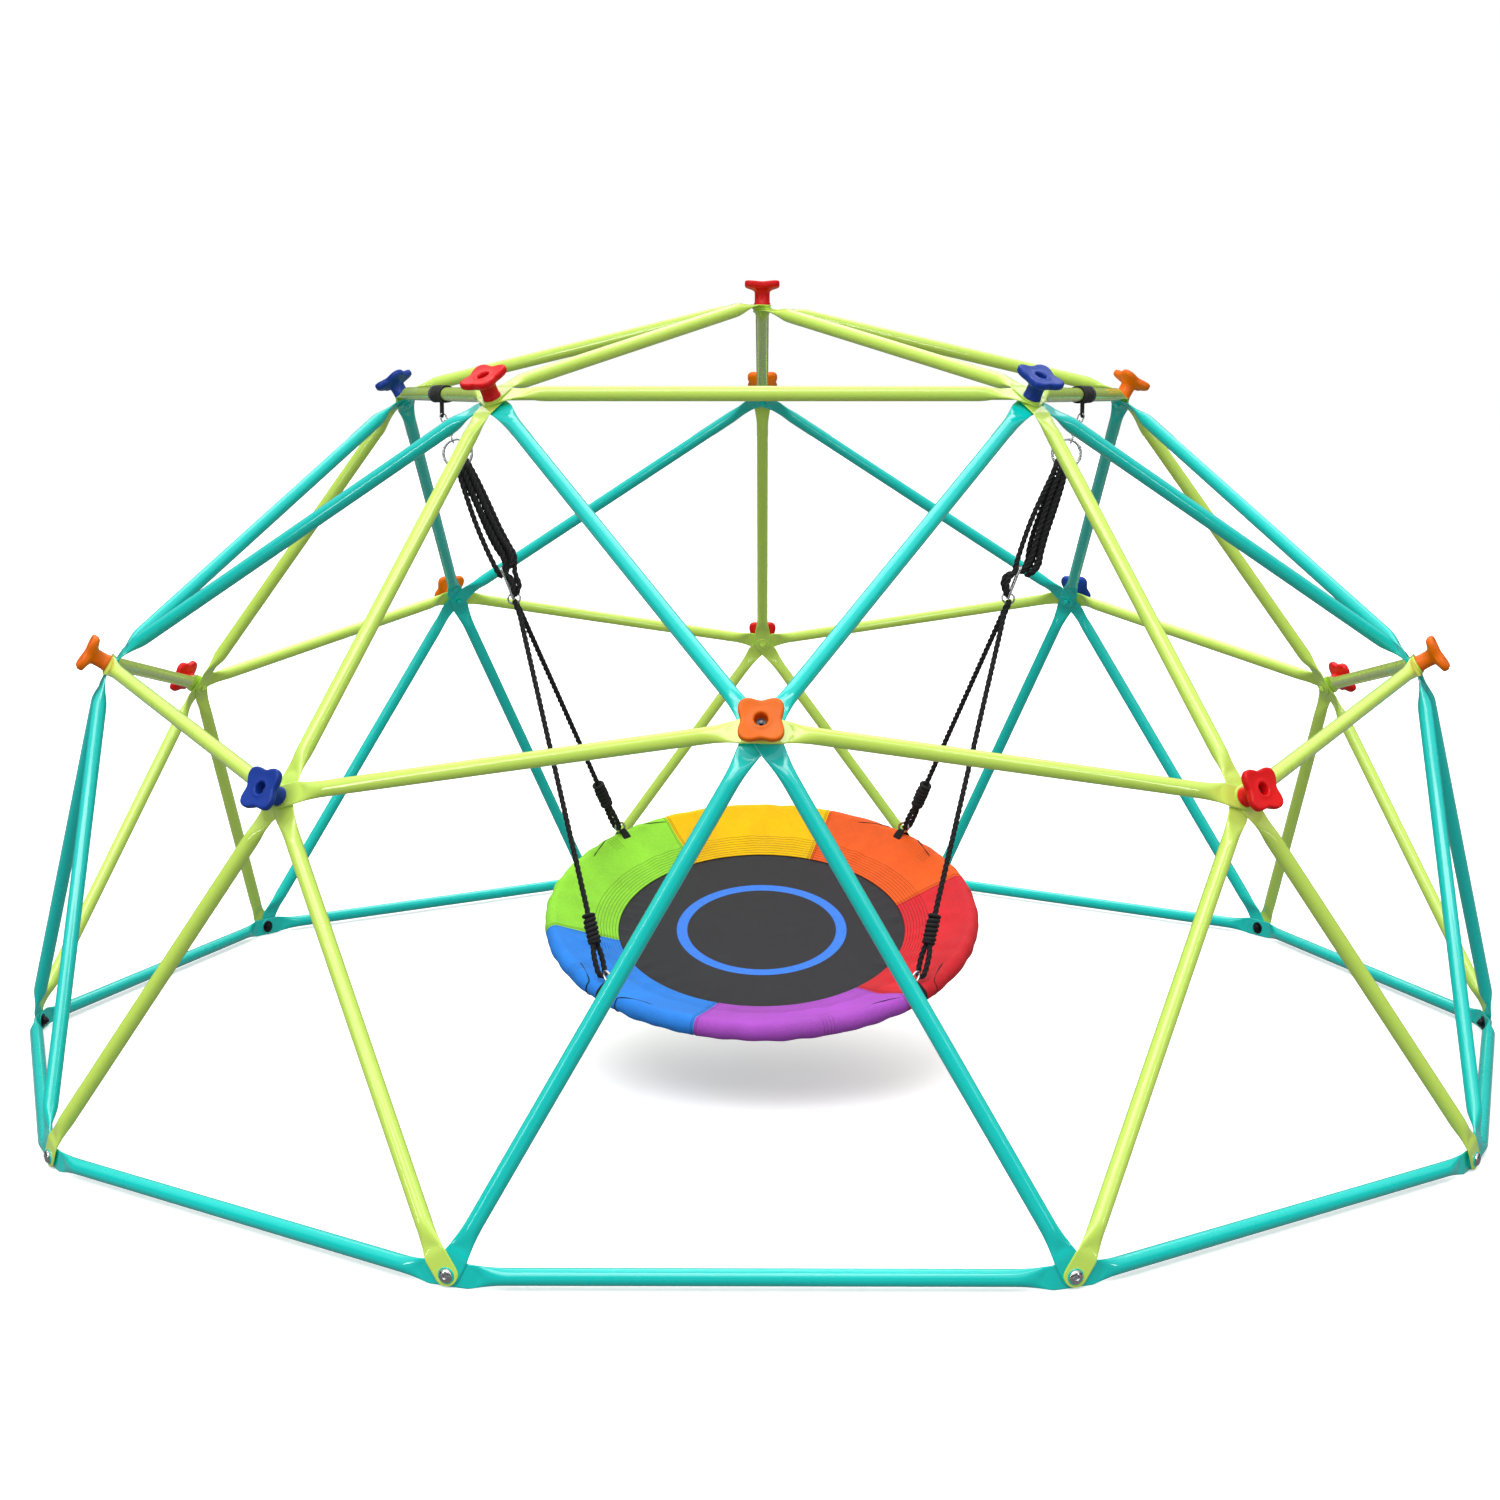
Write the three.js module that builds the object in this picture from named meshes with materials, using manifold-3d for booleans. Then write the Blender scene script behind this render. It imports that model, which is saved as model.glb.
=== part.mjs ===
// Climbing dome with a saucer swing. Millimetres, +Z up, floor at z = 0, front towards -Y.
// The frame is half of a two-way divided icosahedron: 65 steel tubes with flattened ends, bolted together at 26
// hubs.
// Hubs and tubes are numbered anticlockwise seen from above, starting at the front.
import * as THREE from 'three';
import Module from 'manifold-3d';

const wasm = await Module();
wasm.setup();
const { Manifold, CrossSection, Mesh } = wasm;

// ---------- driving dimensions ----------
const HUB_RADIUS = 1815; // from the dome's centre to the bolt of every six-way and ground hub
const FIVE_WAY_SHARE = 0.971; // five-way hubs lie a little inside that sphere, so their tubes can be shorter
const TUBE = { radius: 16, sides: 8 };
const TONGUE = {
  halfWidth: 24,
  thick: 3,
  tip: 20, // past the bolt
  tipHalfWidth: 10,
  shoulder: 5, // past the bolt, where the rounded end begins
  flat: 44, // from the bolt to the bend
  blend: 34, // from the bend to the full round tube
};
const NODE_GAP = 0.3; // between neighbouring pieces
const FUSE = 0.1; // overlap that joins the stacked tongues of one piece
const BOLT = {
  radius: 4,
  holeRadius: 5,
  sides: 6,
  headRadius: 13,
  headHeight: 7,
  nutRadius: 9,
  nutHeight: 9,
  end: 5,
};
const KNOB = {
  flatRadius: 36.5,
  lobeRadius: 52.5,
  thick: 18,
  height: 58,
  dish: 6,
  dishShare: 0.62,
  stemRadius: 19,
};
const SWING = {
  pivotDrop: 30, // from the crown rail's axis down to the strap's eye
  forkX: 0.316 * HUB_RADIUS,
  forkZ: 0.59 * HUB_RADIUS,
  centreZ: 0.182 * HUB_RADIUS,
  tilt: 19 * Math.PI / 180, // the front ropes are longer than the back ones
};
const SAUCER = {
  ringRadius: 495,
  steelRadius: 12.5,
  sleeveInner: 15,
  sleeveOuter: 20,
  skirtInner: 345,
  skirtDrop: 38,
  skirtThick: 3,
  matThick: 4.5, // the mat is sewn edge to edge into the skirt
  sides: 24,
};
const STRAP = { inner: 17.1, outer: 20.5, width: 150, tabWidth: 44, tabThick: 5, tabDrop: 38, eye: 13 };
const CHAIN = { links: 4, length: 20, halfWidth: 7, wire: 2.2 }; // length and halfWidth to the middle of the wire
const CARABINER = { radius: 33, wire: 3.5 };
const ADJUSTER = { width: 30, length: 84, thick: 5, slot: 10 };
const BUNDLE_RADIUS = 20;
const ROPE_RADIUS = 7;
const ROPE_START = 20; // below the fork, where a side's two ropes are clear of each other
const HANGER = { inner: 25, outer: 28.5, width: 24, ringRadius: 13, wire: 3 };

const CENTRE_Z = TONGUE.halfWidth; // the ground hubs' tongues stand on the floor
const V_LATITUDE = Math.atan(0.5); // upper corners of an icosahedron
const CROWN_LATITUDE = (Math.PI / 2 + V_LATITUDE) / 2;
const M_LATITUDE = Math.PI / 2 - CROWN_LATITUDE;
const TURN = 2 * Math.PI;

const vec = (x, y, z) => new THREE.Vector3(x, y, z);
const along = (point, direction, distance) => point.clone().addScaledVector(direction, distance);

// ---------- solids ----------
// Closed skin over a list of rings with equal point counts. The ends are convex and closed with fans, unless the
// list loops.
function skin(rings, loop = false) {
  const count = rings[0].length;
  const points = rings.flat().flatMap((p) => [p.x, p.y, p.z]);
  const triangles = [];
  const bands = loop ? rings.length : rings.length - 1;
  for (let i = 0; i < bands; i++) {
    const low = i * count;
    const high = ((i + 1) % rings.length) * count;
    for (let j = 0; j < count; j++) {
      const next = (j + 1) % count;
      triangles.push([low + j, low + next, high + next], [low + j, high + next, high + j]);
    }
  }
  const last = (rings.length - 1) * count;
  for (let j = 1; j < count - 1 && !loop; j++) {
    triangles.push([0, j + 1, j], [last, last + j, last + j + 1]);
  }
  let volume = 0;
  const corner = (i) => vec(...points.slice(3 * i, 3 * i + 3));
  for (const [a, b, c] of triangles) {
    volume += corner(a).dot(corner(b).cross(corner(c)));
  }
  const outward = triangles.map(([a, b, c]) => (volume > 0 ? [a, b, c] : [a, c, b]));
  return new Manifold(new Mesh({
    numProp: 3,
    vertProperties: new Float32Array(points),
    triVerts: new Uint32Array(outward.flat()),
  }));
}

const join = (solids) => solids.reduce((a, b) => a.add(b));

// Places a solid built around the origin: its x, y and z axes turn to the three given unit vectors.
function place(solid, origin, x, y, z) {
  return solid.transform([...x.toArray(), 0, ...y.toArray(), 0, ...z.toArray(), 0, ...origin.toArray(), 1]);
}

// Regular prism or cone along z, from height low to high.
function prism(low, high, radius, sides, topRadius = radius) {
  return Manifold.cylinder(high - low, radius, topRadius, sides).translate([0, 0, low]);
}

function block(low, high) {
  const size = high.map((h, i) => h - low[i]);
  return Manifold.cube(size).translate(low);
}

// Wire of round section bent into a closed flat loop through the given points.
function wireLoop(points, normal, radius, sides = 6) {
  const centre = points.reduce((a, p) => a.add(p), vec(0, 0, 0)).divideScalar(points.length);
  const rings = points.map((p, i) => {
    const before = points[(i + points.length - 1) % points.length];
    const after = points[(i + 1) % points.length];
    const tangent = after.clone().sub(before).normalize();
    const out = tangent.clone().cross(normal).normalize();
    if (out.dot(p.clone().sub(centre)) < 0) {
      out.negate();
    }
    return Array.from({ length: sides }, (_, j) => {
      const a = TURN * (j + 0.5) / sides;
      return along(along(p, out, radius * Math.cos(a)), normal, radius * Math.sin(a));
    });
  });
  return skin(rings, true);
}

// Points of an oval with straight sides: from its top at the origin down along "down" by length.
function ovalPoints(top, down, side, length, halfWidth, perEnd = 5) {
  const straight = length - 2 * halfWidth;
  const points = [];
  for (let end = 0; end < 2; end++) {
    for (let i = 0; i < perEnd; i++) {
      const a = Math.PI * (i / (perEnd - 1) + end);
      const d = halfWidth - halfWidth * Math.sin(a) + (end ? straight : 0);
      points.push(along(along(top, down, d), side, halfWidth * Math.cos(a)));
    }
  }
  return points;
}

// Straight prism between two points, with a radius at each station given as [share of the way, radius].
function rod(from, to, stations, sides) {
  const axis = to.clone().sub(from).normalize();
  const side = vec(0, 1, 0).cross(axis).normalize();
  const other = axis.clone().cross(side);
  return skin(stations.map(([share, radius]) => {
    const centre = from.clone().lerp(to, share);
    return Array.from({ length: sides }, (_, j) => {
      const a = TURN * (j + 0.5) / sides;
      return along(along(centre, side, radius * Math.cos(a)), other, radius * Math.sin(a));
    });
  }));
}

// ---------- hubs ----------
const hubs = {};

function addHub(name, azimuthDegrees, latitude, share = 1) {
  const azimuth = azimuthDegrees * Math.PI / 180;
  const level = Math.cos(latitude);
  const normal = vec(level * Math.cos(azimuth), level * Math.sin(azimuth), Math.sin(latitude));
  const point = along(vec(0, 0, CENTRE_Z), normal, HUB_RADIUS * share);
  hubs[name] = { name, normal, point, ends: [] };
}

addHub('apex', 0, Math.PI / 2, FIVE_WAY_SHARE);
for (let k = 0; k < 5; k++) {
  addHub(`crown${k}`, -54 + 72 * k, CROWN_LATITUDE);
  addHub(`v${k}`, -54 + 72 * k, V_LATITUDE, FIVE_WAY_SHARE);
  addHub(`m${k}`, -90 + 72 * k, M_LATITUDE);
}
for (let j = 0; j < 10; j++) {
  addHub(`ground${j}`, -72 + 36 * j, 0);
}

// ---------- tubes ----------
// Pieces in the order in which their tongues are stacked on a bolt, from the inside of the dome outwards.
const pieces = {};
const tubes = [];

function addTube(piece, from, to) {
  const tube = { piece, hubs: [from, to] };
  tubes.push(tube);
  pieces[piece] = [...(pieces[piece] ?? []), tube];
  hubs[from].ends.push(tube);
  hubs[to].ends.push(tube);
}

for (let j = 0; j < 10; j++) {
  addTube('base_ring', `ground${j}`, `ground${(j + 1) % 10}`);
}
for (let k = 0; k < 5; k++) {
  addTube(`teal_cross_${k + 1}`, `m${k}`, `crown${(k + 4) % 5}`);
  addTube(`teal_cross_${k + 1}`, `m${k}`, `crown${k}`);
  addTube(`teal_cross_${k + 1}`, `m${k}`, `ground${(2 * k + 9) % 10}`);
  addTube(`teal_cross_${k + 1}`, `m${k}`, `ground${2 * k}`);
}
for (let k = 0; k < 5; k++) {
  addTube(`lime_rib_${k + 1}`, `v${k}`, `crown${k}`);
  addTube(`lime_rib_${k + 1}`, `v${k}`, `ground${2 * k}`);
  addTube(`lime_rib_${k + 1}`, `v${k}`, `ground${2 * k + 1}`);
}
for (let k = 0; k < 5; k++) {
  addTube('waist_ring', `m${k}`, `v${k}`);
  addTube('waist_ring', `v${k}`, `m${(k + 1) % 5}`);
}
for (let k = 0; k < 5; k++) {
  addTube(`crown_rail_${k + 1}`, `crown${k}`, `crown${(k + 1) % 5}`);
}
for (let k = 0; k < 5; k++) {
  addTube(`apex_spoke_${k + 1}`, 'apex', `crown${k}`);
}

// Height of each tongue in its stack, along the bolt, with the stack centred on the hub.
for (const hub of Object.values(hubs)) {
  let height = 0;
  hub.level = new Map();
  hub.ends.forEach((tube, i) => {
    if (i > 0) {
      const joined = hub.ends[i - 1].piece === tube.piece;
      height += TONGUE.thick + (joined ? -FUSE : NODE_GAP);
    }
    hub.level.set(tube, height);
  });
  hub.halfStack = (height + TONGUE.thick) / 2;
  hub.level.forEach((value, tube) => hub.level.set(tube, value - height / 2));
}

// One end of a tube: the bolt's place in the tongue, the way the tongue runs and the point where it bends.
function tongueFrame(tube, hubName, otherName) {
  const hub = hubs[hubName];
  const origin = along(hub.point, hub.normal, hub.level.get(tube));
  const way = hubs[otherName].point.clone().sub(hub.point);
  way.addScaledVector(hub.normal, -way.dot(hub.normal)).normalize();
  return { origin, way, normal: hub.normal, bend: along(origin, way, TONGUE.flat) };
}

function tubeAxis(tube) {
  const [from, to] = tube.hubs;
  const start = tongueFrame(tube, from, to);
  const end = tongueFrame(tube, to, from);
  const axis = end.bend.clone().sub(start.bend).normalize();
  const side = start.normal.clone().cross(axis).normalize();
  return { start, end, axis, side };
}

function flatSection(centre, side, normal, halfWidth) {
  const h = TONGUE.thick / 2;
  const across = [1, 1 / 3, -1 / 3, -1, -1, -1 / 3, 1 / 3, 1];
  return across.map((share, i) => along(along(centre, side, share * halfWidth), normal, i < 4 ? h : -h));
}

function roundSection(centre, side, up, radius = TUBE.radius) {
  const corner = radius / Math.cos(Math.PI / TUBE.sides) * 0.98;
  return Array.from({ length: TUBE.sides }, (_, i) => {
    const a = TURN * (i + 0.5) / TUBE.sides;
    return along(along(centre, side, corner * Math.cos(a)), up, corner * Math.sin(a));
  });
}

function tubeSolid(tube) {
  const { start, end, axis, side } = tubeAxis(tube);
  const up = axis.clone().cross(side);
  const flats = (end) => [
    flatSection(along(end.origin, end.way, -TONGUE.tip), side, end.normal, TONGUE.tipHalfWidth),
    flatSection(along(end.origin, end.way, -TONGUE.shoulder), side, end.normal, TONGUE.halfWidth),
    flatSection(end.bend, side, end.normal, TONGUE.halfWidth),
  ];
  return skin([
    ...flats(start),
    roundSection(along(start.bend, axis, TONGUE.blend), side, up),
    roundSection(along(end.bend, axis, -TONGUE.blend), side, up),
    ...flats(end).reverse(),
  ]);
}

// ---------- bolts and knobs, built along +z from the hub's centre ----------
function placeOnHub(solid, hub) {
  const up = Math.abs(hub.normal.z) > 0.99 ? vec(0, 1, 0) : vec(0, 0, 1);
  const x = up.cross(hub.normal).normalize();
  return place(solid, hub.point, x, hub.normal.clone().cross(x), hub.normal);
}

function innerNut(hub) {
  const face = -hub.halfStack - NODE_GAP;
  return prism(face - BOLT.nutHeight, face, BOLT.nutRadius, BOLT.sides);
}

function shank(hub, top) {
  const bottom = -hub.halfStack - NODE_GAP - BOLT.nutHeight - BOLT.end;
  return prism(bottom, top, BOLT.radius, BOLT.sides);
}

// Four-lobed climbing knob, hollowed on its face, with the bolt and nut that hold it.
function knobSolid(hub) {
  const seat = hub.halfStack + NODE_GAP;
  const headBottom = seat + KNOB.height - KNOB.thick;
  const headTop = seat + KNOB.height;
  const mean = (KNOB.flatRadius + KNOB.lobeRadius) / 2;
  const swell = (KNOB.lobeRadius - KNOB.flatRadius) / 2;
  const outline = (share, z) => Array.from({ length: 12 }, (_, i) => {
    const a = TURN * i / 12;
    const radius = share * (mean - swell * Math.cos(4 * a));
    return vec(radius * Math.cos(a), radius * Math.sin(a), z);
  });
  const head = skin([
    outline(0.96, headBottom),
    outline(1, headTop),
    outline(KNOB.dishShare, headTop - KNOB.dish),
  ]);
  const stem = prism(seat, headBottom + 1, KNOB.stemRadius, BOLT.sides);
  return placeOnHub(join([head, stem, shank(hub, seat + 1), innerNut(hub)]), hub);
}

// Round-headed bolt of a ground hub, with its nut: one piece with the base ring, whose tongues it clamps.
function groundBolt(hub) {
  const seat = hub.halfStack + NODE_GAP;
  const head = prism(seat, seat + BOLT.headHeight, BOLT.headRadius, TUBE.sides, BOLT.headRadius * 0.55);
  const nut = innerNut(hub).translate([0, 0, NODE_GAP + FUSE]);
  return placeOnHub(join([head, shank(hub, seat + 1), nut]), hub);
}

function boltHole(hub) {
  return placeOnHub(prism(-2 * hub.halfStack - 5, 2 * hub.halfStack + 5, BOLT.holeRadius, BOLT.sides), hub);
}

// ---------- the swing ----------
const sideRail = { right: pieces.crown_rail_1[0], left: pieces.crown_rail_4[0] };
const xAxis = vec(1, 0, 0);
const hangY = -HUB_RADIUS * Math.cos(CROWN_LATITUDE) * Math.cos(Math.PI / 5) * Math.sin(Math.PI / 10);
const saucerCentre = vec(0, hangY, CENTRE_Z + SWING.centreZ);
const saucerUp = vec(0, -Math.sin(SWING.tilt), Math.cos(SWING.tilt));
const saucerBack = vec(0, Math.cos(SWING.tilt), Math.sin(SWING.tilt));
const inSaucer = (solid) => place(solid, saucerCentre, xAxis, saucerBack, saucerUp);

// Line of one hanger: from the strap's eye down to the fork where its two ropes part.
function hangLine(side) {
  const { start, end, axis } = tubeAxis(sideRail[side]);
  const rail = start.bend.clone().lerp(end.bend, 0.5);
  rail.addScaledVector(axis, (hangY - rail.y) / axis.y);
  const sign = side === 'right' ? 1 : -1;
  const pivot = vec(rail.x, hangY, CENTRE_Z + HUB_RADIUS * Math.sin(CROWN_LATITUDE) - SWING.pivotDrop);
  const fork = vec(sign * SWING.forkX, hangY, CENTRE_Z + SWING.forkZ);
  const down = fork.clone().sub(pivot).normalize();
  const across = vec(0, 1, 0).cross(down).normalize();
  return { rail, axis, pivot, fork, down, across };
}

function strapSolid(side) {
  const { rail, axis, pivot } = hangLine(side);
  const tube = tubeAxis(sideRail[side]);
  const up = tube.axis.clone().cross(tube.side);
  const cuff = (radius, half) => skin([-half, half].map(
    (d) => roundSection(along(rail, axis, d), tube.side, up, radius),
  ));
  const level = vec(axis.x, axis.y, 0).normalize();
  const across = vec(0, 0, 1).cross(level).normalize();
  const tab = block(
    [-STRAP.tabWidth / 2, -STRAP.tabThick / 2, rail.z - pivot.z - STRAP.tabDrop],
    [STRAP.tabWidth / 2, STRAP.tabThick / 2, rail.z - pivot.z - STRAP.inner],
  );
  const eye = block(
    [-STRAP.eye / 2, -STRAP.tabThick, -STRAP.eye / 2],
    [STRAP.eye / 2, STRAP.tabThick, STRAP.eye / 2],
  );
  const level0 = vec(rail.x, rail.y, pivot.z);
  const put = (solid) => place(solid, level0, level, across, vec(0, 0, 1));
  return cuff(STRAP.outer, STRAP.width / 2).add(put(tab))
    .subtract(cuff(STRAP.inner, STRAP.width))
    .subtract(put(eye));
}

// Steel plate with two slots that the rope is woven through, standing on the origin.
function adjusterPlate() {
  const half = ADJUSTER.width / 2;
  const { length, thick, slot } = ADJUSTER;
  const quarter = [[0.6, 0], [1, 0.15], [1, 0.85], [0.6, 1]];
  const right = quarter.map(([x, z]) => [x * half, z * length]);
  const left = quarter.map(([x, z]) => [-x * half, z * length]).reverse();
  const plate = new CrossSection([[...right, ...left]])
    .extrude(thick)
    .translate([0, 0, -thick / 2])
    .rotate([90, 0, 0]);
  const slots = [0.25, 0.75].map((share) => block(
    [-0.55 * half, -thick, share * length - slot / 2], [0.55 * half, thick, share * length + slot / 2],
  ));
  return slots.reduce((a, b) => a.subtract(b), plate);
}

const swingParts = {};
const hangers = {};
for (const side of ['left', 'right']) {
  const line = hangLine(side);
  hangers[side] = line;
  const at = (distance) => along(line.pivot, line.down, distance);
  const yAxis = vec(0, 1, 0);
  const chainStep = CHAIN.length - 2 * CHAIN.wire * Math.SQRT1_2 + 3 * FUSE; // square wires that just merge
  const chainEnd = (CHAIN.links - 1) * chainStep + CHAIN.length;
  const carabinerTop = chainEnd - CHAIN.halfWidth;
  const bundleTop = carabinerTop + 2 * CARABINER.radius + CARABINER.wire + NODE_GAP;
  const hangLength = line.fork.distanceTo(line.pivot);
  const plateTop = hangLength - ADJUSTER.length - 10;
  swingParts[`strap_${side}`] = strapSolid(side);
  swingParts[`chain_${side}`] = join(Array.from({ length: CHAIN.links }, (_, i) => {
    const [wide, flat] = i % 2 ? [yAxis, line.across] : [line.across, yAxis];
    const link = ovalPoints(at(i * chainStep), line.down, wide, CHAIN.length, CHAIN.halfWidth, 3);
    return wireLoop(link, flat, CHAIN.wire, 4);
  }));
  swingParts[`carabiner_${side}`] = wireLoop(
    ovalPoints(at(carabinerTop), line.down, line.across, 2 * CARABINER.radius, CARABINER.radius, 7).slice(0, -1),
    yAxis, CARABINER.wire,
  );
  swingParts[`rope_bundle_${side}`] = rod(
    at(bundleTop), at(plateTop - 1),
    [[0, 0.5 * BUNDLE_RADIUS], [0.1, BUNDLE_RADIUS], [0.9, BUNDLE_RADIUS], [1, 0.5 * BUNDLE_RADIUS]], TUBE.sides,
  );
  swingParts[`rope_adjuster_${side}`] = place(
    adjusterPlate(), at(plateTop + ADJUSTER.length), yAxis, line.across.clone().negate(), line.down.clone().negate(),
  );
}

const corners = [
  { name: 'front_left', azimuth: 225, side: 'left' },
  { name: 'front_right', azimuth: 315, side: 'right' },
  { name: 'back_right', azimuth: 45, side: 'right' },
  { name: 'back_left', azimuth: 135, side: 'left' },
];
for (const { name, azimuth, side } of corners) {
  const a = azimuth * Math.PI / 180;
  const out = along(xAxis.clone().multiplyScalar(Math.cos(a)), saucerBack, Math.sin(a));
  const alongRim = saucerUp.clone().cross(out);
  const rim = along(saucerCentre, out, SAUCER.ringRadius);
  const up = hangers[side].fork.clone().sub(rim);
  const reach = up.length();
  up.divideScalar(reach);
  const pull = up.clone().addScaledVector(alongRim, -up.dot(alongRim)).normalize();
  const loop = prism(-HANGER.width / 2, HANGER.width / 2, HANGER.outer, TUBE.sides)
    .subtract(prism(-HANGER.width, HANGER.width, HANGER.inner, TUBE.sides));
  const ringTop = along(rim, pull, HANGER.outer - 2);
  const ring = wireLoop(
    ovalPoints(ringTop, up, alongRim, 2 * HANGER.ringRadius, HANGER.ringRadius, 4),
    pull.clone().cross(alongRim), HANGER.wire,
  );
  swingParts[`rim_hanger_${name}`] = place(loop, rim, pull.clone().cross(alongRim).negate(), pull, alongRim).add(ring);
  const ropeEnd = along(rim, up, HANGER.outer + 2 * HANGER.ringRadius + HANGER.wire);
  swingParts[`rope_${name}`] = rod(
    along(hangers[side].fork, up, -ROPE_START), ropeEnd, [[0, ROPE_RADIUS], [1, ROPE_RADIUS]], BOLT.sides,
  );
}

// Rim sleeve that wraps the steel ring, open underneath, with the skirt that reaches in over the mat.
function coverSolid() {
  const ringAt = (radius, degrees) => {
    const a = degrees * Math.PI / 180;
    return [SAUCER.ringRadius + radius * Math.cos(a), radius * Math.sin(a)];
  };
  const outer = [-120, -60, 0, 60, 120].map((a) => ringAt(SAUCER.sleeveOuter, a));
  const inner = [-120, -60, 0, 60, 120, 180].map((a) => ringAt(SAUCER.sleeveInner, a)).reverse();
  const profile = [
    ...outer,
    ringAt(SAUCER.sleeveOuter, 170),
    [SAUCER.skirtInner, -SAUCER.skirtDrop],
    [SAUCER.skirtInner, -SAUCER.skirtDrop - SAUCER.skirtThick],
    ringAt(SAUCER.sleeveOuter, 195),
    ...inner,
  ];
  let cover = Manifold.revolve([profile], SAUCER.sides);
  for (const { azimuth } of corners) {
    const near = SAUCER.ringRadius - HANGER.outer - 3;
    const far = SAUCER.ringRadius - SAUCER.sleeveOuter - 0.3;
    const slit = block([near, -HANGER.width / 2 - 1.5, -30], [far, HANGER.width / 2 + 1.5, 30]);
    cover = cover.subtract(slit.rotate([0, 0, azimuth]));
  }
  return cover;
}

const steelRing = Manifold.revolve(
  [Array.from({ length: 6 }, (_, i) => {
    const a = TURN * i / 6;
    return [SAUCER.ringRadius + SAUCER.steelRadius * Math.cos(a), SAUCER.steelRadius * Math.sin(a)];
  })],
  SAUCER.sides,
);
const matTop = -SAUCER.skirtDrop;
const matRadius = SAUCER.skirtInner - NODE_GAP;
swingParts.saucer_ring = inSaucer(steelRing);
swingParts.saucer_cover = inSaucer(coverSolid());
swingParts.saucer_mat = inSaucer(prism(matTop - SAUCER.matThick, matTop, matRadius, SAUCER.sides));

// ---------- assembly ----------
const group = new THREE.Group();
group.name = 'dome_climber';

function addMesh(name, solid) {
  const mesh = solid.getMesh();
  const geometry = new THREE.BufferGeometry();
  const positions = new Float32Array(mesh.numVert * 3);
  for (let i = 0; i < mesh.numVert; i++) {
    positions.set(mesh.vertProperties.subarray(i * mesh.numProp, i * mesh.numProp + 3), 3 * i);
  }
  geometry.setAttribute('position', new THREE.BufferAttribute(positions, 3));
  geometry.setIndex(new THREE.BufferAttribute(new Uint32Array(mesh.triVerts), 1));
  const item = new THREE.Mesh(geometry, new THREE.MeshStandardMaterial());
  item.name = name;
  group.add(item);
}

for (const [name, own] of Object.entries(pieces)) {
  let solid = join(own.map(tubeSolid));
  const touched = [...new Set(own.flatMap((tube) => tube.hubs))].map((hubName) => hubs[hubName]);
  for (const hub of touched) {
    solid = name === 'base_ring' ? solid.add(groundBolt(hub)) : solid.subtract(boltHole(hub));
  }
  addMesh(name, solid.asOriginal().simplify(FUSE / 20));
}
addMesh('knob_apex', knobSolid(hubs.apex));
for (let k = 0; k < 5; k++) {
  addMesh(`knob_crown_${k + 1}`, knobSolid(hubs[`crown${k}`]));
}
for (let k = 0; k < 5; k++) {
  addMesh(`knob_waist_${2 * k + 1}`, knobSolid(hubs[`m${k}`]));
  addMesh(`knob_waist_${2 * k + 2}`, knobSolid(hubs[`v${k}`]));
}
for (const [name, solid] of Object.entries(swingParts)) {
  addMesh(name, solid);
}

export default group;
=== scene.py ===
import math

import bmesh
import bpy
import numpy as np
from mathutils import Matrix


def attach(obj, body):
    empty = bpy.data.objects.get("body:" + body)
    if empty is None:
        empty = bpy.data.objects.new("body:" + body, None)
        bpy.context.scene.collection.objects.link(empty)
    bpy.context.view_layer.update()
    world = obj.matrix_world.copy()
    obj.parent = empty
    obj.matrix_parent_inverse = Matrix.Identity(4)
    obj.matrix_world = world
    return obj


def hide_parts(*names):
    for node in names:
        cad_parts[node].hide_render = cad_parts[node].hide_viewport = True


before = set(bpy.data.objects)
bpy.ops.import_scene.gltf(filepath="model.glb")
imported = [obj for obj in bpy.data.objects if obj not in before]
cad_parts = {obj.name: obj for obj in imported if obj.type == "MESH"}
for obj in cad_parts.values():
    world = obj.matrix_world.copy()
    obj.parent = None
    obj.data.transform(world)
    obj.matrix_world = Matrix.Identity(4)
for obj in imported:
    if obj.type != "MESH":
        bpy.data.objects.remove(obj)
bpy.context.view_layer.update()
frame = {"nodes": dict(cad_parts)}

TURN = 2 * math.pi
MM = 0.001

# ---------- the frame's layout, in millimetres ----------
HUB_RADIUS = 1815
FIVE_WAY_SHARE = 0.971
CENTRE_Z = 24
STACK_GAP = 0.3
FUSE = 0.1
PLATE = 3
TUBE_RADIUS = 16
HALF_WIDTH = 24
BEND_AT = 44
V_LATITUDE = math.atan(0.5)
CROWN_LATITUDE = (math.pi / 2 + V_LATITUDE) / 2
M_LATITUDE = math.pi / 2 - CROWN_LATITUDE


def unit(v):
    v = np.asarray(v, float)
    return v / np.linalg.norm(v)


def circle(radius, angles, height):
    """Points round z, for one radius or one for each angle."""
    level = np.broadcast_to(np.asarray(height, float), angles.shape)
    return np.stack([radius * np.cos(angles), radius * np.sin(angles), level], 1)


def evenly_round(count):
    """Angles evenly spread over one turn."""
    return np.arange(count) * TURN / count


def way_along(points):
    """Distance from the first point to each point."""
    return np.concatenate([[0], np.cumsum(np.linalg.norm(np.diff(points, axis=0), axis=1))])


hubs = {}


def add_hub(name, azimuth, latitude, share=1):
    a, level = math.radians(azimuth), math.cos(latitude)
    normal = np.array([level * math.cos(a), level * math.sin(a), math.sin(latitude)])
    point = np.array([0, 0, CENTRE_Z]) + normal * HUB_RADIUS * share
    hubs[name] = {"normal": normal, "point": point, "ends": []}


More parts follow.
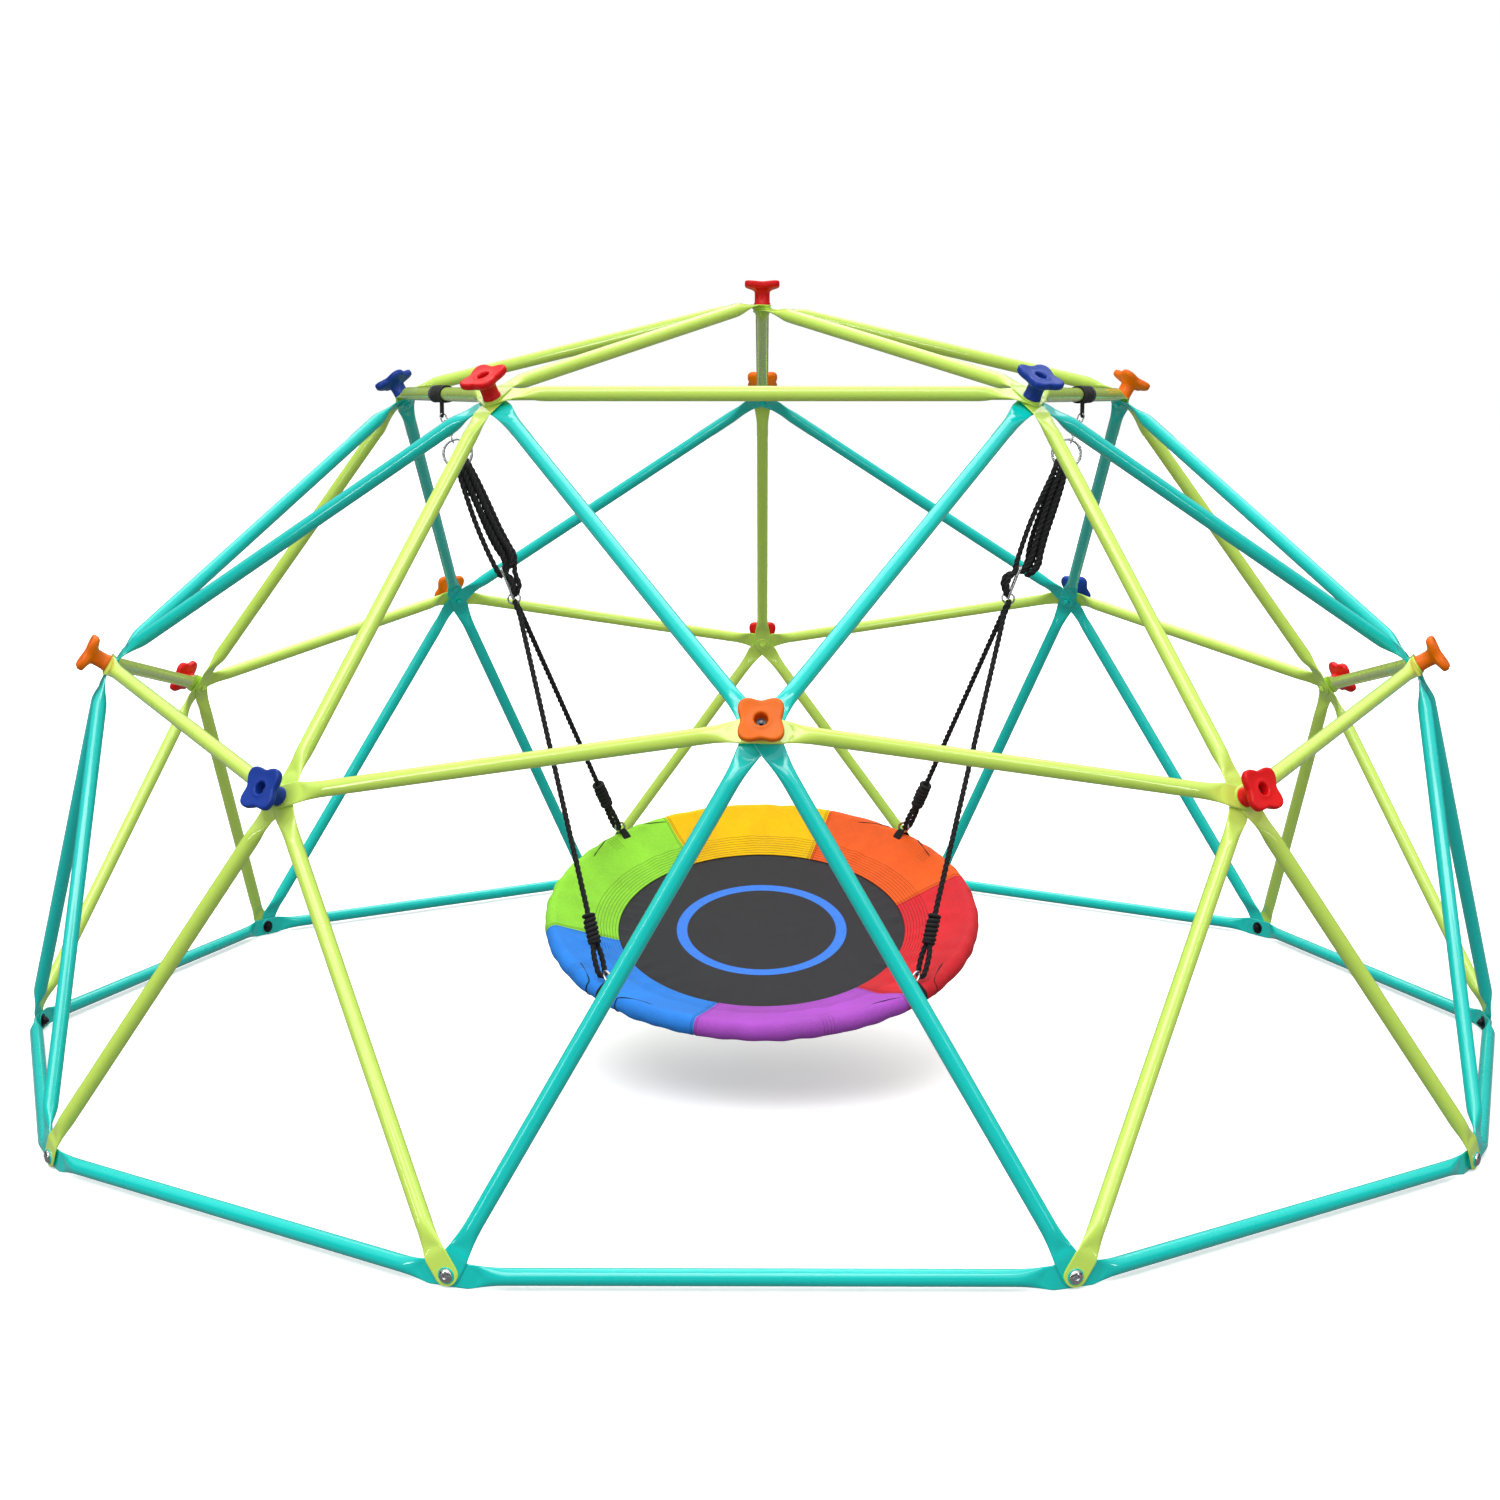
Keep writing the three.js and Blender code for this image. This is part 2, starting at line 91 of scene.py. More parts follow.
add_hub("apex", 0, math.pi / 2, FIVE_WAY_SHARE)
for k in range(5):
    add_hub(f"crown{k}", -54 + 72 * k, CROWN_LATITUDE)
    add_hub(f"v{k}", -54 + 72 * k, V_LATITUDE, FIVE_WAY_SHARE)
    add_hub(f"m{k}", -90 + 72 * k, M_LATITUDE)
for k in range(10):
    add_hub(f"ground{k}", -72 + 36 * k, 0)

tubes = []


def add_tube(node, start, end):
    tube = {"node": node, "ends": (start, end), "number": sum(t["node"] == node for t in tubes) + 1}
    tubes.append(tube)
    for name in (start, end):
        hubs[name]["ends"].append(tube)


for k in range(10):
    add_tube("base_ring", f"ground{k}", f"ground{(k + 1) % 10}")
for k in range(5):
    for end in (f"crown{(k + 4) % 5}", f"crown{k}", f"ground{(2 * k + 9) % 10}", f"ground{2 * k}"):
        add_tube(f"teal_cross_{k + 1}", f"m{k}", end)
for k in range(5):
    for end in (f"crown{k}", f"ground{2 * k}", f"ground{2 * k + 1}"):
        add_tube(f"lime_rib_{k + 1}", f"v{k}", end)
for k in range(5):
    add_tube("waist_ring", f"m{k}", f"v{k}")
    add_tube("waist_ring", f"v{k}", f"m{(k + 1) % 5}")
for k in range(5):
    add_tube(f"crown_rail_{k + 1}", f"crown{k}", f"crown{(k + 1) % 5}")
for k in range(5):
    add_tube(f"apex_spoke_{k + 1}", "apex", f"crown{k}")

for hub in hubs.values():
    height, levels = 0, []
    for i, tube in enumerate(hub["ends"]):
        if i:
            height += PLATE + (-FUSE if hub["ends"][i - 1]["node"] == tube["node"] else STACK_GAP)
        levels.append(height)
    hub["half"] = (height + PLATE) / 2
    hub["level"] = [level - height / 2 for level in levels]


def tongue(tube, at, other):
    """Where a tube's flat end lies on its hub, and the bend past which the tube runs straight."""
    hub = hubs[at]
    index = next(i for i, t in enumerate(hub["ends"]) if t is tube)
    origin = hub["point"] + hub["normal"] * hub["level"][index]
    way = hubs[other]["point"] - hub["point"]
    way = unit(way - hub["normal"] * (way @ hub["normal"]))
    return {"origin": origin, "way": way, "normal": hub["normal"], "bend": origin + way * BEND_AT}


def tube_frame(tube):
    start, end = tongue(tube, *tube["ends"]), tongue(tube, *tube["ends"][::-1])
    axis = unit(end["bend"] - start["bend"])
    side = unit(np.cross(start["normal"], axis))
    return start, end, axis, side, np.cross(axis, side)


# ---------- the swing's layout, in millimetres ----------
PIVOT_DROP = 30
FORK_X, FORK_Z = 0.316 * HUB_RADIUS, CENTRE_Z + 0.59 * HUB_RADIUS
TILT = math.radians(19)
HANG_Y = -HUB_RADIUS * math.cos(CROWN_LATITUDE) * math.cos(math.pi / 5) * math.sin(math.pi / 10)
SAUCER = np.array([0, HANG_Y, CENTRE_Z + 0.182 * HUB_RADIUS])
SAUCER_AXES = np.array([
    [1, 0, 0],
    [0, math.cos(TILT), math.sin(TILT)],
    [0, -math.sin(TILT), math.cos(TILT)],
])
RING_RADIUS = 495
CHAIN_STEP = 17.19
RING_TOP = 64.6
CLIP_RADIUS = 33
CLIP_WIRE = 3.5
HANG_LENGTH = 471
rails = {
    "right": next(t for t in tubes if t["node"] == "crown_rail_1"),
    "left": next(t for t in tubes if t["node"] == "crown_rail_4"),
}


def hang_line(side):
    start, end, axis, _, _ = tube_frame(rails[side])
    rail = (start["bend"] + end["bend"]) / 2
    rail = rail + axis * (HANG_Y - rail[1]) / axis[1]
    sign = 1 if side == "right" else -1
    pivot = np.array([rail[0], HANG_Y, CENTRE_Z + HUB_RADIUS * math.sin(CROWN_LATITUDE) - PIVOT_DROP])
    fork = np.array([sign * FORK_X, HANG_Y, FORK_Z])
    down = unit(fork - pivot)
    right = -unit(np.cross([0, 1, 0], down))
    return {"rail": rail, "axis": axis, "pivot": pivot, "fork": fork, "down": down, "right": right}


lines = {side: hang_line(side) for side in ("left", "right")}
CORNERS = [
    ("front_left", 225, "left"), ("front_right", 315, "right"),
    ("back_right", 45, "right"), ("back_left", 135, "left"),
]


# ---------- meshes ----------
def loft(rings, us=None, vs=None, along=False, caps=True):
    """Faces over rings of equal point counts, with a texture place in millimetres at each corner."""
    rings = np.asarray(rings, float)
    n, m = rings.shape[:2]
    us = np.arange(m + 1.0) if us is None else np.asarray(us, float)
    vs = np.arange(n + 1.0) if vs is None else np.asarray(vs, float)
    faces, places = [], []
    for i in range(n if along else n - 1):
        low, high = i * m, (i + 1) % n * m
        for j in range(m):
            k = (j + 1) % m
            faces.append((low + j, low + k, high + k, high + j))
            places.append(((us[j], vs[i]), (us[j + 1], vs[i]), (us[j + 1], vs[i + 1]), (us[j], vs[i + 1])))
    if caps and not along:
        faces += [tuple(range(m))[::-1], tuple((n - 1) * m + j for j in range(m))]
        places += [[(us[0], vs[0])] * m, [(us[0], vs[n - 1])] * m]
    return rings.reshape(-1, 3), faces, places


def joined(*meshes):
    verts, faces, places, base = [], [], [], 0
    for v, f, p in meshes:
        verts.append(v)
        faces += [tuple(base + i for i in face) for face in f]
        places += p
        base += len(v)
    return np.concatenate(verts), faces, places


def new_mesh(name, verts, faces, layers):
    data = bpy.data.meshes.new(name)
    data.from_pydata(np.asarray(verts).tolist(), [], faces)
    for layer, places in layers.items():
        data.uv_layers.new(name=layer).data.foreach_set("uv", np.array(places, np.float32).ravel())
    return data


def new_object(name, data):
    obj = bpy.data.objects.new(name, data)
    bpy.context.scene.collection.objects.link(obj)
    return obj


def piece(name, mesh, material, body, node, sharp=40, fix=True):
    verts, faces, places = mesh
    corners = [corner for face in places for corner in face]
    data = new_mesh(name, np.asarray(verts) * MM, faces, {"UVMap": corners})
    if fix:
        bm = bmesh.new()
        bm.from_mesh(data)
        bmesh.ops.recalc_face_normals(bm, faces=bm.faces)
        bm.to_mesh(data)
        bm.free()
    data.shade_smooth()
    data.set_sharp_from_angle(angle=math.radians(sharp))
    data.materials.append(material)
    obj = new_object(name, data)
    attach(obj, body)
    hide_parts(node)
    return obj


def placed(mesh, origin, x, y, z):
    """A mesh built round the origin, turned and moved."""
    verts, faces, places = mesh
    return np.asarray(origin) + verts @ np.array([x, y, z]), faces, places


def lathe(profile, count=32, shape=None):
    """Rings about z from (radius, height) pairs. shape(i, angles) may scale each ring's radius."""
    angles = evenly_round(count)
    rings = []
    for i, (r, z) in enumerate(profile):
        rings.append(circle(r if shape is None else r * shape(i, angles), angles, z))
    return loft(rings)


def hexagon(_, angles):
    """Scale that turns a circle into the hexagon drawn round it."""
    return 1 / np.cos((angles + math.pi / 6) % (math.pi / 3) - math.pi / 6)


def hub_axes(hub):
    up = np.array([0, 1.0, 0]) if abs(hub["normal"][2]) > 0.99 else np.array([0, 0, 1.0])
    x = unit(np.cross(up, hub["normal"]))
    return hub["point"], x, np.cross(hub["normal"], x), hub["normal"]


def carried(points, closed=False):
    """Two normals carried along the line without twist."""
    points = np.asarray(points, float)
    if closed:
        t = np.roll(points, -1, 0) - np.roll(points, 1, 0)
    else:
        t = np.gradient(points, axis=0)
    t /= np.linalg.norm(t, axis=1)[:, None]
    start = np.cross(t[0], [0, 1, 0])
    if np.linalg.norm(start) < 0.2:
        start = np.cross(t[0], [1, 0, 0])
    n = [unit(start)]
    for i in range(1, len(t)):
        n.append(unit(n[-1] - t[i] * (n[-1] @ t[i])))
    n = np.array(n)
    return n, np.cross(t, n)


def wire(points, radius, sides=12, closed=False, taper=0.0):
    """Round wire along a line, thinner over the taper's length at open ends."""
    points = np.asarray(points, float)
    n, b = carried(points, closed)
    a = evenly_round(sides)
    step = np.linalg.norm(np.diff(points, axis=0), axis=1).mean()
    size = np.full(len(points), float(radius))
    if taper and not closed:
        near = np.minimum(np.arange(len(points)), np.arange(len(points))[::-1]) * step
        size *= np.sqrt(np.clip(near / taper, 0.08, 1))
    out = np.cos(a)[:, None] * n[:, None] + np.sin(a)[:, None] * b[:, None]
    rings = points[:, None] + size[:, None, None] * out
    us, vs = np.arange(sides + 1) * TURN * radius / sides, np.arange(len(points) + 1) * step
    return loft(rings, us=us, vs=vs, along=closed)


def ring_points(centre, x, y, radius, count=48, other=None):
    a = evenly_round(count)
    return centre + radius * np.cos(a)[:, None] * x + (other or radius) * np.sin(a)[:, None] * y


def between(t, low, high, a, b):
    return (high - t) / (high - low) * a + (t - low) / (high - low) * b


def smooth_line(controls, step):
    """Points a step apart on a smooth curve through the controls."""
    c = np.asarray(controls, float)
    c = np.vstack([2 * c[0] - c[1], c, 2 * c[-1] - c[-2]])
    knots = np.concatenate([[0], np.cumsum(np.sqrt(np.linalg.norm(np.diff(c, axis=0), axis=1)))])
    out = []
    for i in range(1, len(c) - 2):
        t0, t1, t2, t3 = knots[i - 1 : i + 3]
        t = np.linspace(t1, t2, 40, endpoint=False)[:, None]
        a, b, d = (between(t, knots[k], knots[k + 1], c[k], c[k + 1]) for k in (i - 1, i, i + 1))
        out.append(between(t, t1, t2, between(t, t0, t2, a, b), between(t, t1, t3, b, d)))
    line = np.vstack([*out, c[-2][None]])
    way = way_along(line)
    at = np.linspace(0, way[-1], max(3, int(round(way[-1] / step)) + 1))
    return np.stack([np.interp(at, way, line[:, k]) for k in range(3)], 1)


ROPE_RADIUS = 6.8
LAY_LENGTH = 42
STRANDS = 3
STRAND_SIDES = 8
STRAND_OFFSET, STRAND_SHARE = 0.46, 0.54
ROPE_STEP = 2.7


def rope_mesh(points, start_turn=0.0):
    """Three laid strands: a lobed section that turns as it goes along the line."""
    points = np.asarray(points, float)
    n, b = carried(points)
    sides = STRANDS * STRAND_SIDES
    a = (np.arange(sides) + 0.5) * TURN / sides
    local = (a % (TURN / STRANDS)) - TURN / STRANDS / 2
    inner = np.maximum(STRAND_SHARE**2 - (STRAND_OFFSET * np.sin(local)) ** 2, 0)
    section = STRAND_OFFSET * np.cos(local) + np.sqrt(inner)
    way = way_along(points)
    angle = a[None] + (start_turn + TURN * way / LAY_LENGTH)[:, None]
    ends = np.clip(np.minimum(way, way[-1] - way) / ROPE_RADIUS, 0.15, 1) ** 0.5
    r = ROPE_RADIUS * section[None] * ends[:, None]
    out = np.cos(angle)[..., None] * n[:, None] + np.sin(angle)[..., None] * b[:, None]
    us = np.arange(sides + 1) * TURN * ROPE_RADIUS / sides
    return loft(points[:, None] + r[..., None] * out, us=us, vs=np.append(way, way[-1] + 3))


# ---------- materials ----------
def srgb(*rgb):
    return tuple((c / 255 / 12.92 if c <= 10 else ((c / 255 + 0.055) / 1.055) ** 2.4) for c in rgb) + (1.0,)


class Shader:
    """A material with short ways to add nodes."""

    def __init__(self, name, **sockets):
        self.material = bpy.data.materials.new(name)
        self.material.use_nodes = True
        self.tree = self.material.node_tree
        self.bsdf = self.tree.nodes["Principled BSDF"]
        for key, value in sockets.items():
            self.bsdf.inputs[key.replace("_", " ")].default_value = value

    def add(self, kind, inputs=(), **props):
        node = self.tree.nodes.new(kind)
        for key, value in props.items():
            setattr(node, key, value)
        for key, value in dict(inputs).items():
            if isinstance(value, bpy.types.NodeSocket):
                self.tree.links.new(value, node.inputs[key])
            else:
                node.inputs[key].default_value = value
        return node

    def math(self, operation, a, b=0.0, c=0.0):
        return self.add("ShaderNodeMath", {0: a, 1: b, 2: c}, operation=operation).outputs[0]

    def mix(self, factor, a, b):
        return self.add("ShaderNodeMix", {0: factor, 6: a, 7: b}, data_type="RGBA").outputs[2]

    def cloudy(self, cloud, a, b, low=0.35, high=0.7):
        """From colour a to colour b with the cloud's value."""
        return self.mix(self.span(cloud, low, high, 0, 1), a, b)

    def weave(self, u, v, count):
        """Threads both ways, count radians of wave in a millimetre."""
        across, down = (self.math("SINE", self.math("MULTIPLY", place, count)) for place in (u, v))
        return self.math("MULTIPLY", across, down)

    def near(self, value, at, half):
        return self.math("LESS_THAN", self.math("ABSOLUTE", self.math("SUBTRACT", value, at)), half)

    def dashed(self, way, pitch, share):
        """One on each stitch's stretch of the way, zero between stitches."""
        return self.math("LESS_THAN", self.math("FRACT", self.math("DIVIDE", way, pitch)), share)

    def noise(self, scale, detail=2.0, vector=None):
        if vector is None:
            vector = self.add("ShaderNodeTexCoord").outputs["Object"]
        inputs = {"Scale": scale, "Detail": detail, "Roughness": 0.5, "Vector": vector}
        return self.add("ShaderNodeTexNoise", inputs).outputs["Fac"]

    def uv(self, layer="UVMap"):
        split = self.add("ShaderNodeSeparateXYZ", {0: self.add("ShaderNodeUVMap", uv_map=layer).outputs[0]})
        return split.outputs[0], split.outputs[1]

    def span(self, value, low, high, out_low, out_high):
        inputs = {0: value, 1: low, 2: high, 3: out_low, 4: out_high}
        return self.add("ShaderNodeMapRange", inputs, clamp=True).outputs[0]

    def colour(self, socket):
        self.tree.links.new(socket, self.bsdf.inputs["Base Color"])

    def rough(self, cloud, low, high):
        self.tree.links.new(self.span(cloud, 0.3, 0.7, low, high), self.bsdf.inputs["Roughness"])

    def bump(self, height, strength, distance):
        normal = self.bsdf.inputs["Normal"]
        inputs = {"Height": height, "Strength": strength, "Distance": distance}
        if normal.links:
            inputs["Normal"] = normal.links[0].from_socket
        self.tree.links.new(self.add("ShaderNodeBump", inputs).outputs[0], normal)


def shade(colour, factor):
    return tuple(min(1.0, c * factor) for c in colour[:3]) + (1.0,)


def paint(name, colour):
    """Glossy paint: slightly cloudy in colour and uneven in gloss."""
    s = Shader(name, Coat_Weight=0.85, Coat_Roughness=0.045, IOR=1.5, Specular_IOR_Level=0.2)
    s.colour(s.cloudy(s.noise(2.2, 3), shade(colour, 0.95), shade(colour, 1.03)))
    s.rough(s.noise(14, 3), 0.24, 0.34)
    return s.material


def plastic(name, colour):
    """Moulded plastic: slightly cloudy, with a fine grain."""
    s = Shader(name, Specular_IOR_Level=0.18)
    s.colour(s.cloudy(s.noise(14, 3), shade(colour, 0.9), shade(colour, 1.05)))
    s.rough(s.noise(60, 3), 0.3, 0.44)
    s.bump(s.noise(900, 2), 0.12, 0.0003)
    return s.material


def metal(name, colour, low, high, scratch=0.15):
    """Metal whose roughness wanders from low to high, finely scratched."""
    s = Shader(name, Metallic=1.0)
    s.colour(s.cloudy(s.noise(60, 3), shade(colour, 0.82), colour))
    s.rough(s.noise(240, 4), low, high)
    s.bump(s.noise(1500, 3), scratch, 0.0002)
    return s.material


def rope_material():
    """Black laid rope: fibres that run along each strand."""
    s = Shader("rope_fibre", Sheen_Weight=0.05, Sheen_Roughness=0.5, Specular_IOR_Level=0.35)
    uv = s.add("ShaderNodeUVMap", uv_map="UVMap").outputs[0]
    long_way = s.add("ShaderNodeMapping", {"Vector": uv, "Scale": (2.4, 0.35, 1.0)}).outputs[0]
    fibre = s.noise(1, 4, long_way)
    s.colour(s.cloudy(fibre, (0.002, 0.002, 0.0024, 1), (0.013, 0.013, 0.015, 1)))
    s.rough(fibre, 0.62, 0.85)
    s.bump(fibre, 0.8, 0.0008)
    return s.material


def webbing_material(name, stitch_rows=()):
    """Black webbing: a ribbed weave, and dashed rows of pale stitching at the given distances."""
    s = Shader(name, Sheen_Weight=0.04, Sheen_Roughness=0.5, Specular_IOR_Level=0.3)
    u, v = s.uv()
    cloud = s.noise(90, 3)
    dark = s.cloudy(cloud, (0.003, 0.003, 0.0035, 1), (0.012, 0.012, 0.014, 1))
    if stitch_rows:
        line = 0.0
        for at in stitch_rows:
            line = s.math("MAXIMUM", line, s.near(v, at, 0.9))
        thread = s.math("MULTIPLY", line, s.dashed(u, 5.0, 0.62))
        dark = s.mix(thread, dark, srgb(150, 175, 225))
        s.bump(thread, 0.8, 0.001)
    s.colour(dark)
    s.rough(cloud, 0.7, 0.9)
    s.bump(s.weave(u, v, 4.2), 0.5, 0.0006)
    return s.material


STITCH_ROWS = 8
STITCH_STEP = 7.6
STITCH_FIRST = 7.0


def cover_material(name, colour):
    """Coated polyester: a fine weave, soft creases, stitching near the mat and at the seams, with painted
    shade darkening the sunk stitch lines.
    """
    s = Shader(name, Sheen_Weight=0.02, Sheen_Roughness=0.4, Specular_IOR_Level=0.15)
    u, v = s.uv()
    seam, dart = s.uv("seams")
    cloud = s.noise(9, 4)
    base = s.cloudy(cloud, shade(colour, 0.84), shade(colour, 1.08), 0.3, 0.75)
    base = s.mix(s.span(s.noise(160, 3), 0.45, 0.8, 0, 0.35), base, shade(colour, 1.3))
    from_first = s.math("SUBTRACT", v, STITCH_FIRST - STITCH_STEP / 2)
    rows = s.math("FRACT", s.math("DIVIDE", from_first, STITCH_STEP))
    on_row = s.near(rows, 0.5, 0.85 / STITCH_STEP)
    inside = s.math("LESS_THAN", v, STITCH_FIRST + STITCH_STEP * (STITCH_ROWS - 0.5))
    line = s.math("MULTIPLY", on_row, inside)
    for way, at, half in ((seam, 3.4, 0.7), (seam, 7.0, 0.7), (dart, 4.0, 0.6), (dart, 12.0, 0.6)):
        line = s.math("MAXIMUM", line, s.near(way, at, half))
    thread = s.math("MULTIPLY", line, s.dashed(s.math("ADD", u, v), 3.4, 0.72))
    # Painted shade: each stitch row, seam line and dart line is darkened along its sunk groove; the lighter
    # dashes laid on it next are the thread.
    base = s.mix(s.math("MULTIPLY", line, 0.75), base, shade(colour, 0.32))
    base = s.mix(s.math("MULTIPLY", thread, 0.5), base, shade(colour, 0.6))
    s.colour(base)
    s.rough(cloud, 0.58, 0.78)
    s.bump(s.weave(u, v, 5.4), 0.25, 0.0004)
    s.bump(s.noise(38, 3), 0.35, 0.004)
    s.bump(line, 0.9, -0.0008)
    return s.material


PRINTED_RING = 191


def mat_material():
    """Charcoal mesh cloth with a printed blue ring."""
    s = Shader("mat_cloth", Sheen_Weight=0.03, Sheen_Roughness=0.5, Specular_IOR_Level=0.2)
    x, y = s.uv()
    radius = s.math("SQRT", s.math("ADD", s.math("MULTIPLY", x, x), s.math("MULTIPLY", y, y)))
    weave = s.weave(x, y, 4.4)
    cloud = s.noise(12, 4)
    cloth = s.cloudy(cloud, srgb(36, 36, 40), srgb(54, 54, 58), 0.3)
    cloth = s.mix(s.span(weave, -1, 1, 0, 0.35), cloth, srgb(20, 20, 23))
    from_line = s.math("ABSOLUTE", s.math("SUBTRACT", radius, PRINTED_RING))
    edge = s.span(from_line, 11.5, 13.5, 1, 0)
    worn = s.math("MULTIPLY", edge, s.span(s.noise(150, 4), 0.3, 0.5, 0.8, 1))
    s.colour(s.mix(worn, cloth, srgb(58, 128, 235)))
    s.rough(cloud, 0.6, 0.8)
    s.bump(weave, 0.3, 0.0004)
    s.bump(s.noise(30, 3), 0.25, 0.004)
    return s.material


TEAL, LIME = (0.0, 0.7, 0.63, 1.0), (0.71, 1.0, 0.15, 1.0)
paints = {"teal": paint("teal_paint", TEAL), "lime": paint("lime_paint", LIME)}
knob_materials = {
    "red": plastic("red_plastic", (0.8, 0.006, 0.008, 1)),
    "orange": plastic("orange_plastic", (0.95, 0.17, 0.0, 1)),
    "blue": plastic("blue_plastic", (0.01, 0.05, 0.36, 1)),
}
bright_steel = metal("polished_steel", (0.66, 0.66, 0.68, 1), 0.14, 0.24, 0.02)
zinc = metal("zinc_plate", (0.74, 0.75, 0.78, 1), 0.2, 0.36)
bolt_steel = metal("dull_bolt_steel", (0.12, 0.12, 0.125, 1), 0.4, 0.6)
dark_steel = metal("blackened_steel", (0.05, 0.05, 0.055, 1), 0.35, 0.55)
rope_look = rope_material()
webbing = webbing_material("webbing")
cuff_webbing = webbing_material("cuff_webbing", (124.0, 132.0, 140.0, 146.0))
binding = webbing_material("dark_binding")
mat_look = mat_material()
SECTION_COLOURS = {
    "red": srgb(224, 42, 52),
    "orange": srgb(250, 98, 32),
    "yellow": srgb(255, 196, 0),
    "lime": srgb(152, 228, 62),
    "blue": srgb(48, 138, 240),
    "purple": srgb(180, 84, 204),
}

# ---------- camera and light ----------
camera_data = bpy.data.cameras.new("camera")
camera_data.lens, camera_data.sensor_width = 56.76, 36
camera = new_object("camera", camera_data)
camera.location = (0.0054, -5.7735, 1.5849)
camera.rotation_euler = (math.pi / 2 - 0.1497, 0, 0.006)
camera_data.clip_end = 200
bpy.context.scene.camera = camera
bpy.context.scene.view_settings.view_transform = "Standard"

world = bpy.data.worlds.new("studio")
bpy.context.scene.world = world
world.use_nodes = True
tree = world.node_tree
background = tree.nodes["Background"]
height = tree.nodes.new("ShaderNodeSeparateXYZ")
tree.links.new(tree.nodes.new("ShaderNodeTexCoord").outputs["Generated"], height.inputs[0])
ramp = tree.nodes.new("ShaderNodeValToRGB")
stops = ramp.color_ramp.elements
stops[0].position, stops[1].position = 0.3, 0.9
stops.new(0.52)
for stop, grey in zip(stops, (0.3, 0.5, 1)):
    stop.color = (grey, grey, grey, 1)
remap = tree.nodes.new("ShaderNodeMapRange")
remap.inputs[1].default_value, remap.inputs[2].default_value = -1, 1
tree.links.new(height.outputs[2], remap.inputs[0])
tree.links.new(remap.outputs[0], ramp.inputs[0])
tree.links.new(ramp.outputs[0], background.inputs["Color"])
background.inputs["Strength"].default_value = 0.75


def sun(name, azimuth, elevation, angle, strength):
    data = bpy.data.lights.new(name, "SUN")
    data.angle, data.energy = math.radians(angle), strength
    new_object(name, data).rotation_euler = (math.radians(90 - elevation), 0, math.radians(azimuth))


sun("key", -22, 54, 40, 1.35)
sun("overhead", 180, 62, 56, 1.3)
sun("front_fill", 8, 18, 60, 0.3)


def stage_piece(name, verts, faces, shader, seen_in_gloss=False):
    data = new_mesh(name, verts, faces, {})
    data.materials.append(shader.material)
    obj = new_object(name, data)
    obj.visible_diffuse = obj.visible_transmission = False
    obj.visible_glossy = seen_in_gloss
    return obj


def glowing(name, strength):
    white, black = (1, 1, 1, 1), (0, 0, 0, 1)
    return Shader(name, Emission_Color=white, Emission_Strength=strength, Base_Color=black, Roughness=1.0)


def glow_card(name, corners, strength):
    """A softbox that only shows as a highlight in glossy surfaces."""
    card = stage_piece(name, corners, [(0, 1, 2, 3)], glowing(name, strength), True)
    card.visible_camera = card.visible_shadow = False


def round_wall(name, radius, low, high, strength, seen_in_gloss=False):
    """A glowing wall all round the object, far away, from low to high in metres."""
    angles = [t * TURN / 48 for t in range(48)]
    rings = [[(radius * math.cos(a), radius * math.sin(a), z) for a in angles] for z in (low, high)]
    verts, faces, _ = loft(rings, caps=False)
    return stage_piece(name, verts, faces, glowing(name, strength), seen_in_gloss)


glow_card("softbox_top", [(-5, -4.1, 4.5), (5, -4.1, 4.5), (5, -3.6, 4.8), (-5, -3.6, 4.8)], 7)
glow_card("softbox_left", [(-4.5, -4.5, 0.02), (-4.2, -4.8, 0.02), (-4.2, -4.8, 4.2), (-4.5, -4.5, 4.2)], 12)
glow_card("softbox_right", [(4.1, -4.7, 0.02), (4.3, -4.5, 0.02), (4.3, -4.5, 4.2), (4.1, -4.7, 4.2)], 10)
horizon = round_wall("dim_horizon", 60, -6, 22, 0.08, True)
horizon.visible_camera = horizon.visible_shadow = False

paper = Shader("floor_paper", Roughness=0.9, Specular_IOR_Level=0.0)
paper.bsdf.inputs["Emission Color"].default_value = (1, 1, 1, 1)
paper.bsdf.inputs["Emission Strength"].default_value = 0.4
paper.colour(paper.mix(paper.noise(0.6, 2), (0.94, 0.94, 0.94, 1), (0.955, 0.955, 0.955, 1)))
stage_piece("floor", [(-90, -90, 0), (90, -90, 0), (90, 90, 0), (-90, 90, 0)], [(0, 1, 2, 3)], paper)
backdrop = round_wall("backdrop", 84, -1, 60, 1.0)
backdrop.visible_shadow = False

# ---------- the swing's ropes ----------
GRIP_FROM, GRIP_TO = 122, 186
GRIP_TURNS, GRIP_RADIUS, GRIP_WIRE = 5, 10.6, 5.5
EYE = 52.5 - 3 - ROPE_RADIUS  # where the rope turns round the rim ring's wire
HANGER_RING = 13
HANGER_OUTER = 28.5
Y_AXIS = np.array([0, 1.0, 0])


def corner_frame(azimuth, side):
    a = math.radians(azimuth)
    out = math.cos(a) * SAUCER_AXES[0] + math.sin(a) * SAUCER_AXES[1]
    along = np.cross(SAUCER_AXES[2], out)
    rim = SAUCER + out * RING_RADIUS
    up = unit(lines[side]["fork"] - rim)
    pull = unit(up - along * (up @ along))
    facing = unit(np.cross(pull, along))
    return {"along": along, "rim": rim, "up": up, "pull": pull, "facing": facing}


def on_line(side, s, right=0.0, back=0.0):
    line = lines[side]
    return line["pivot"] + line["down"] * s + line["right"] * right + Y_AXIS * back


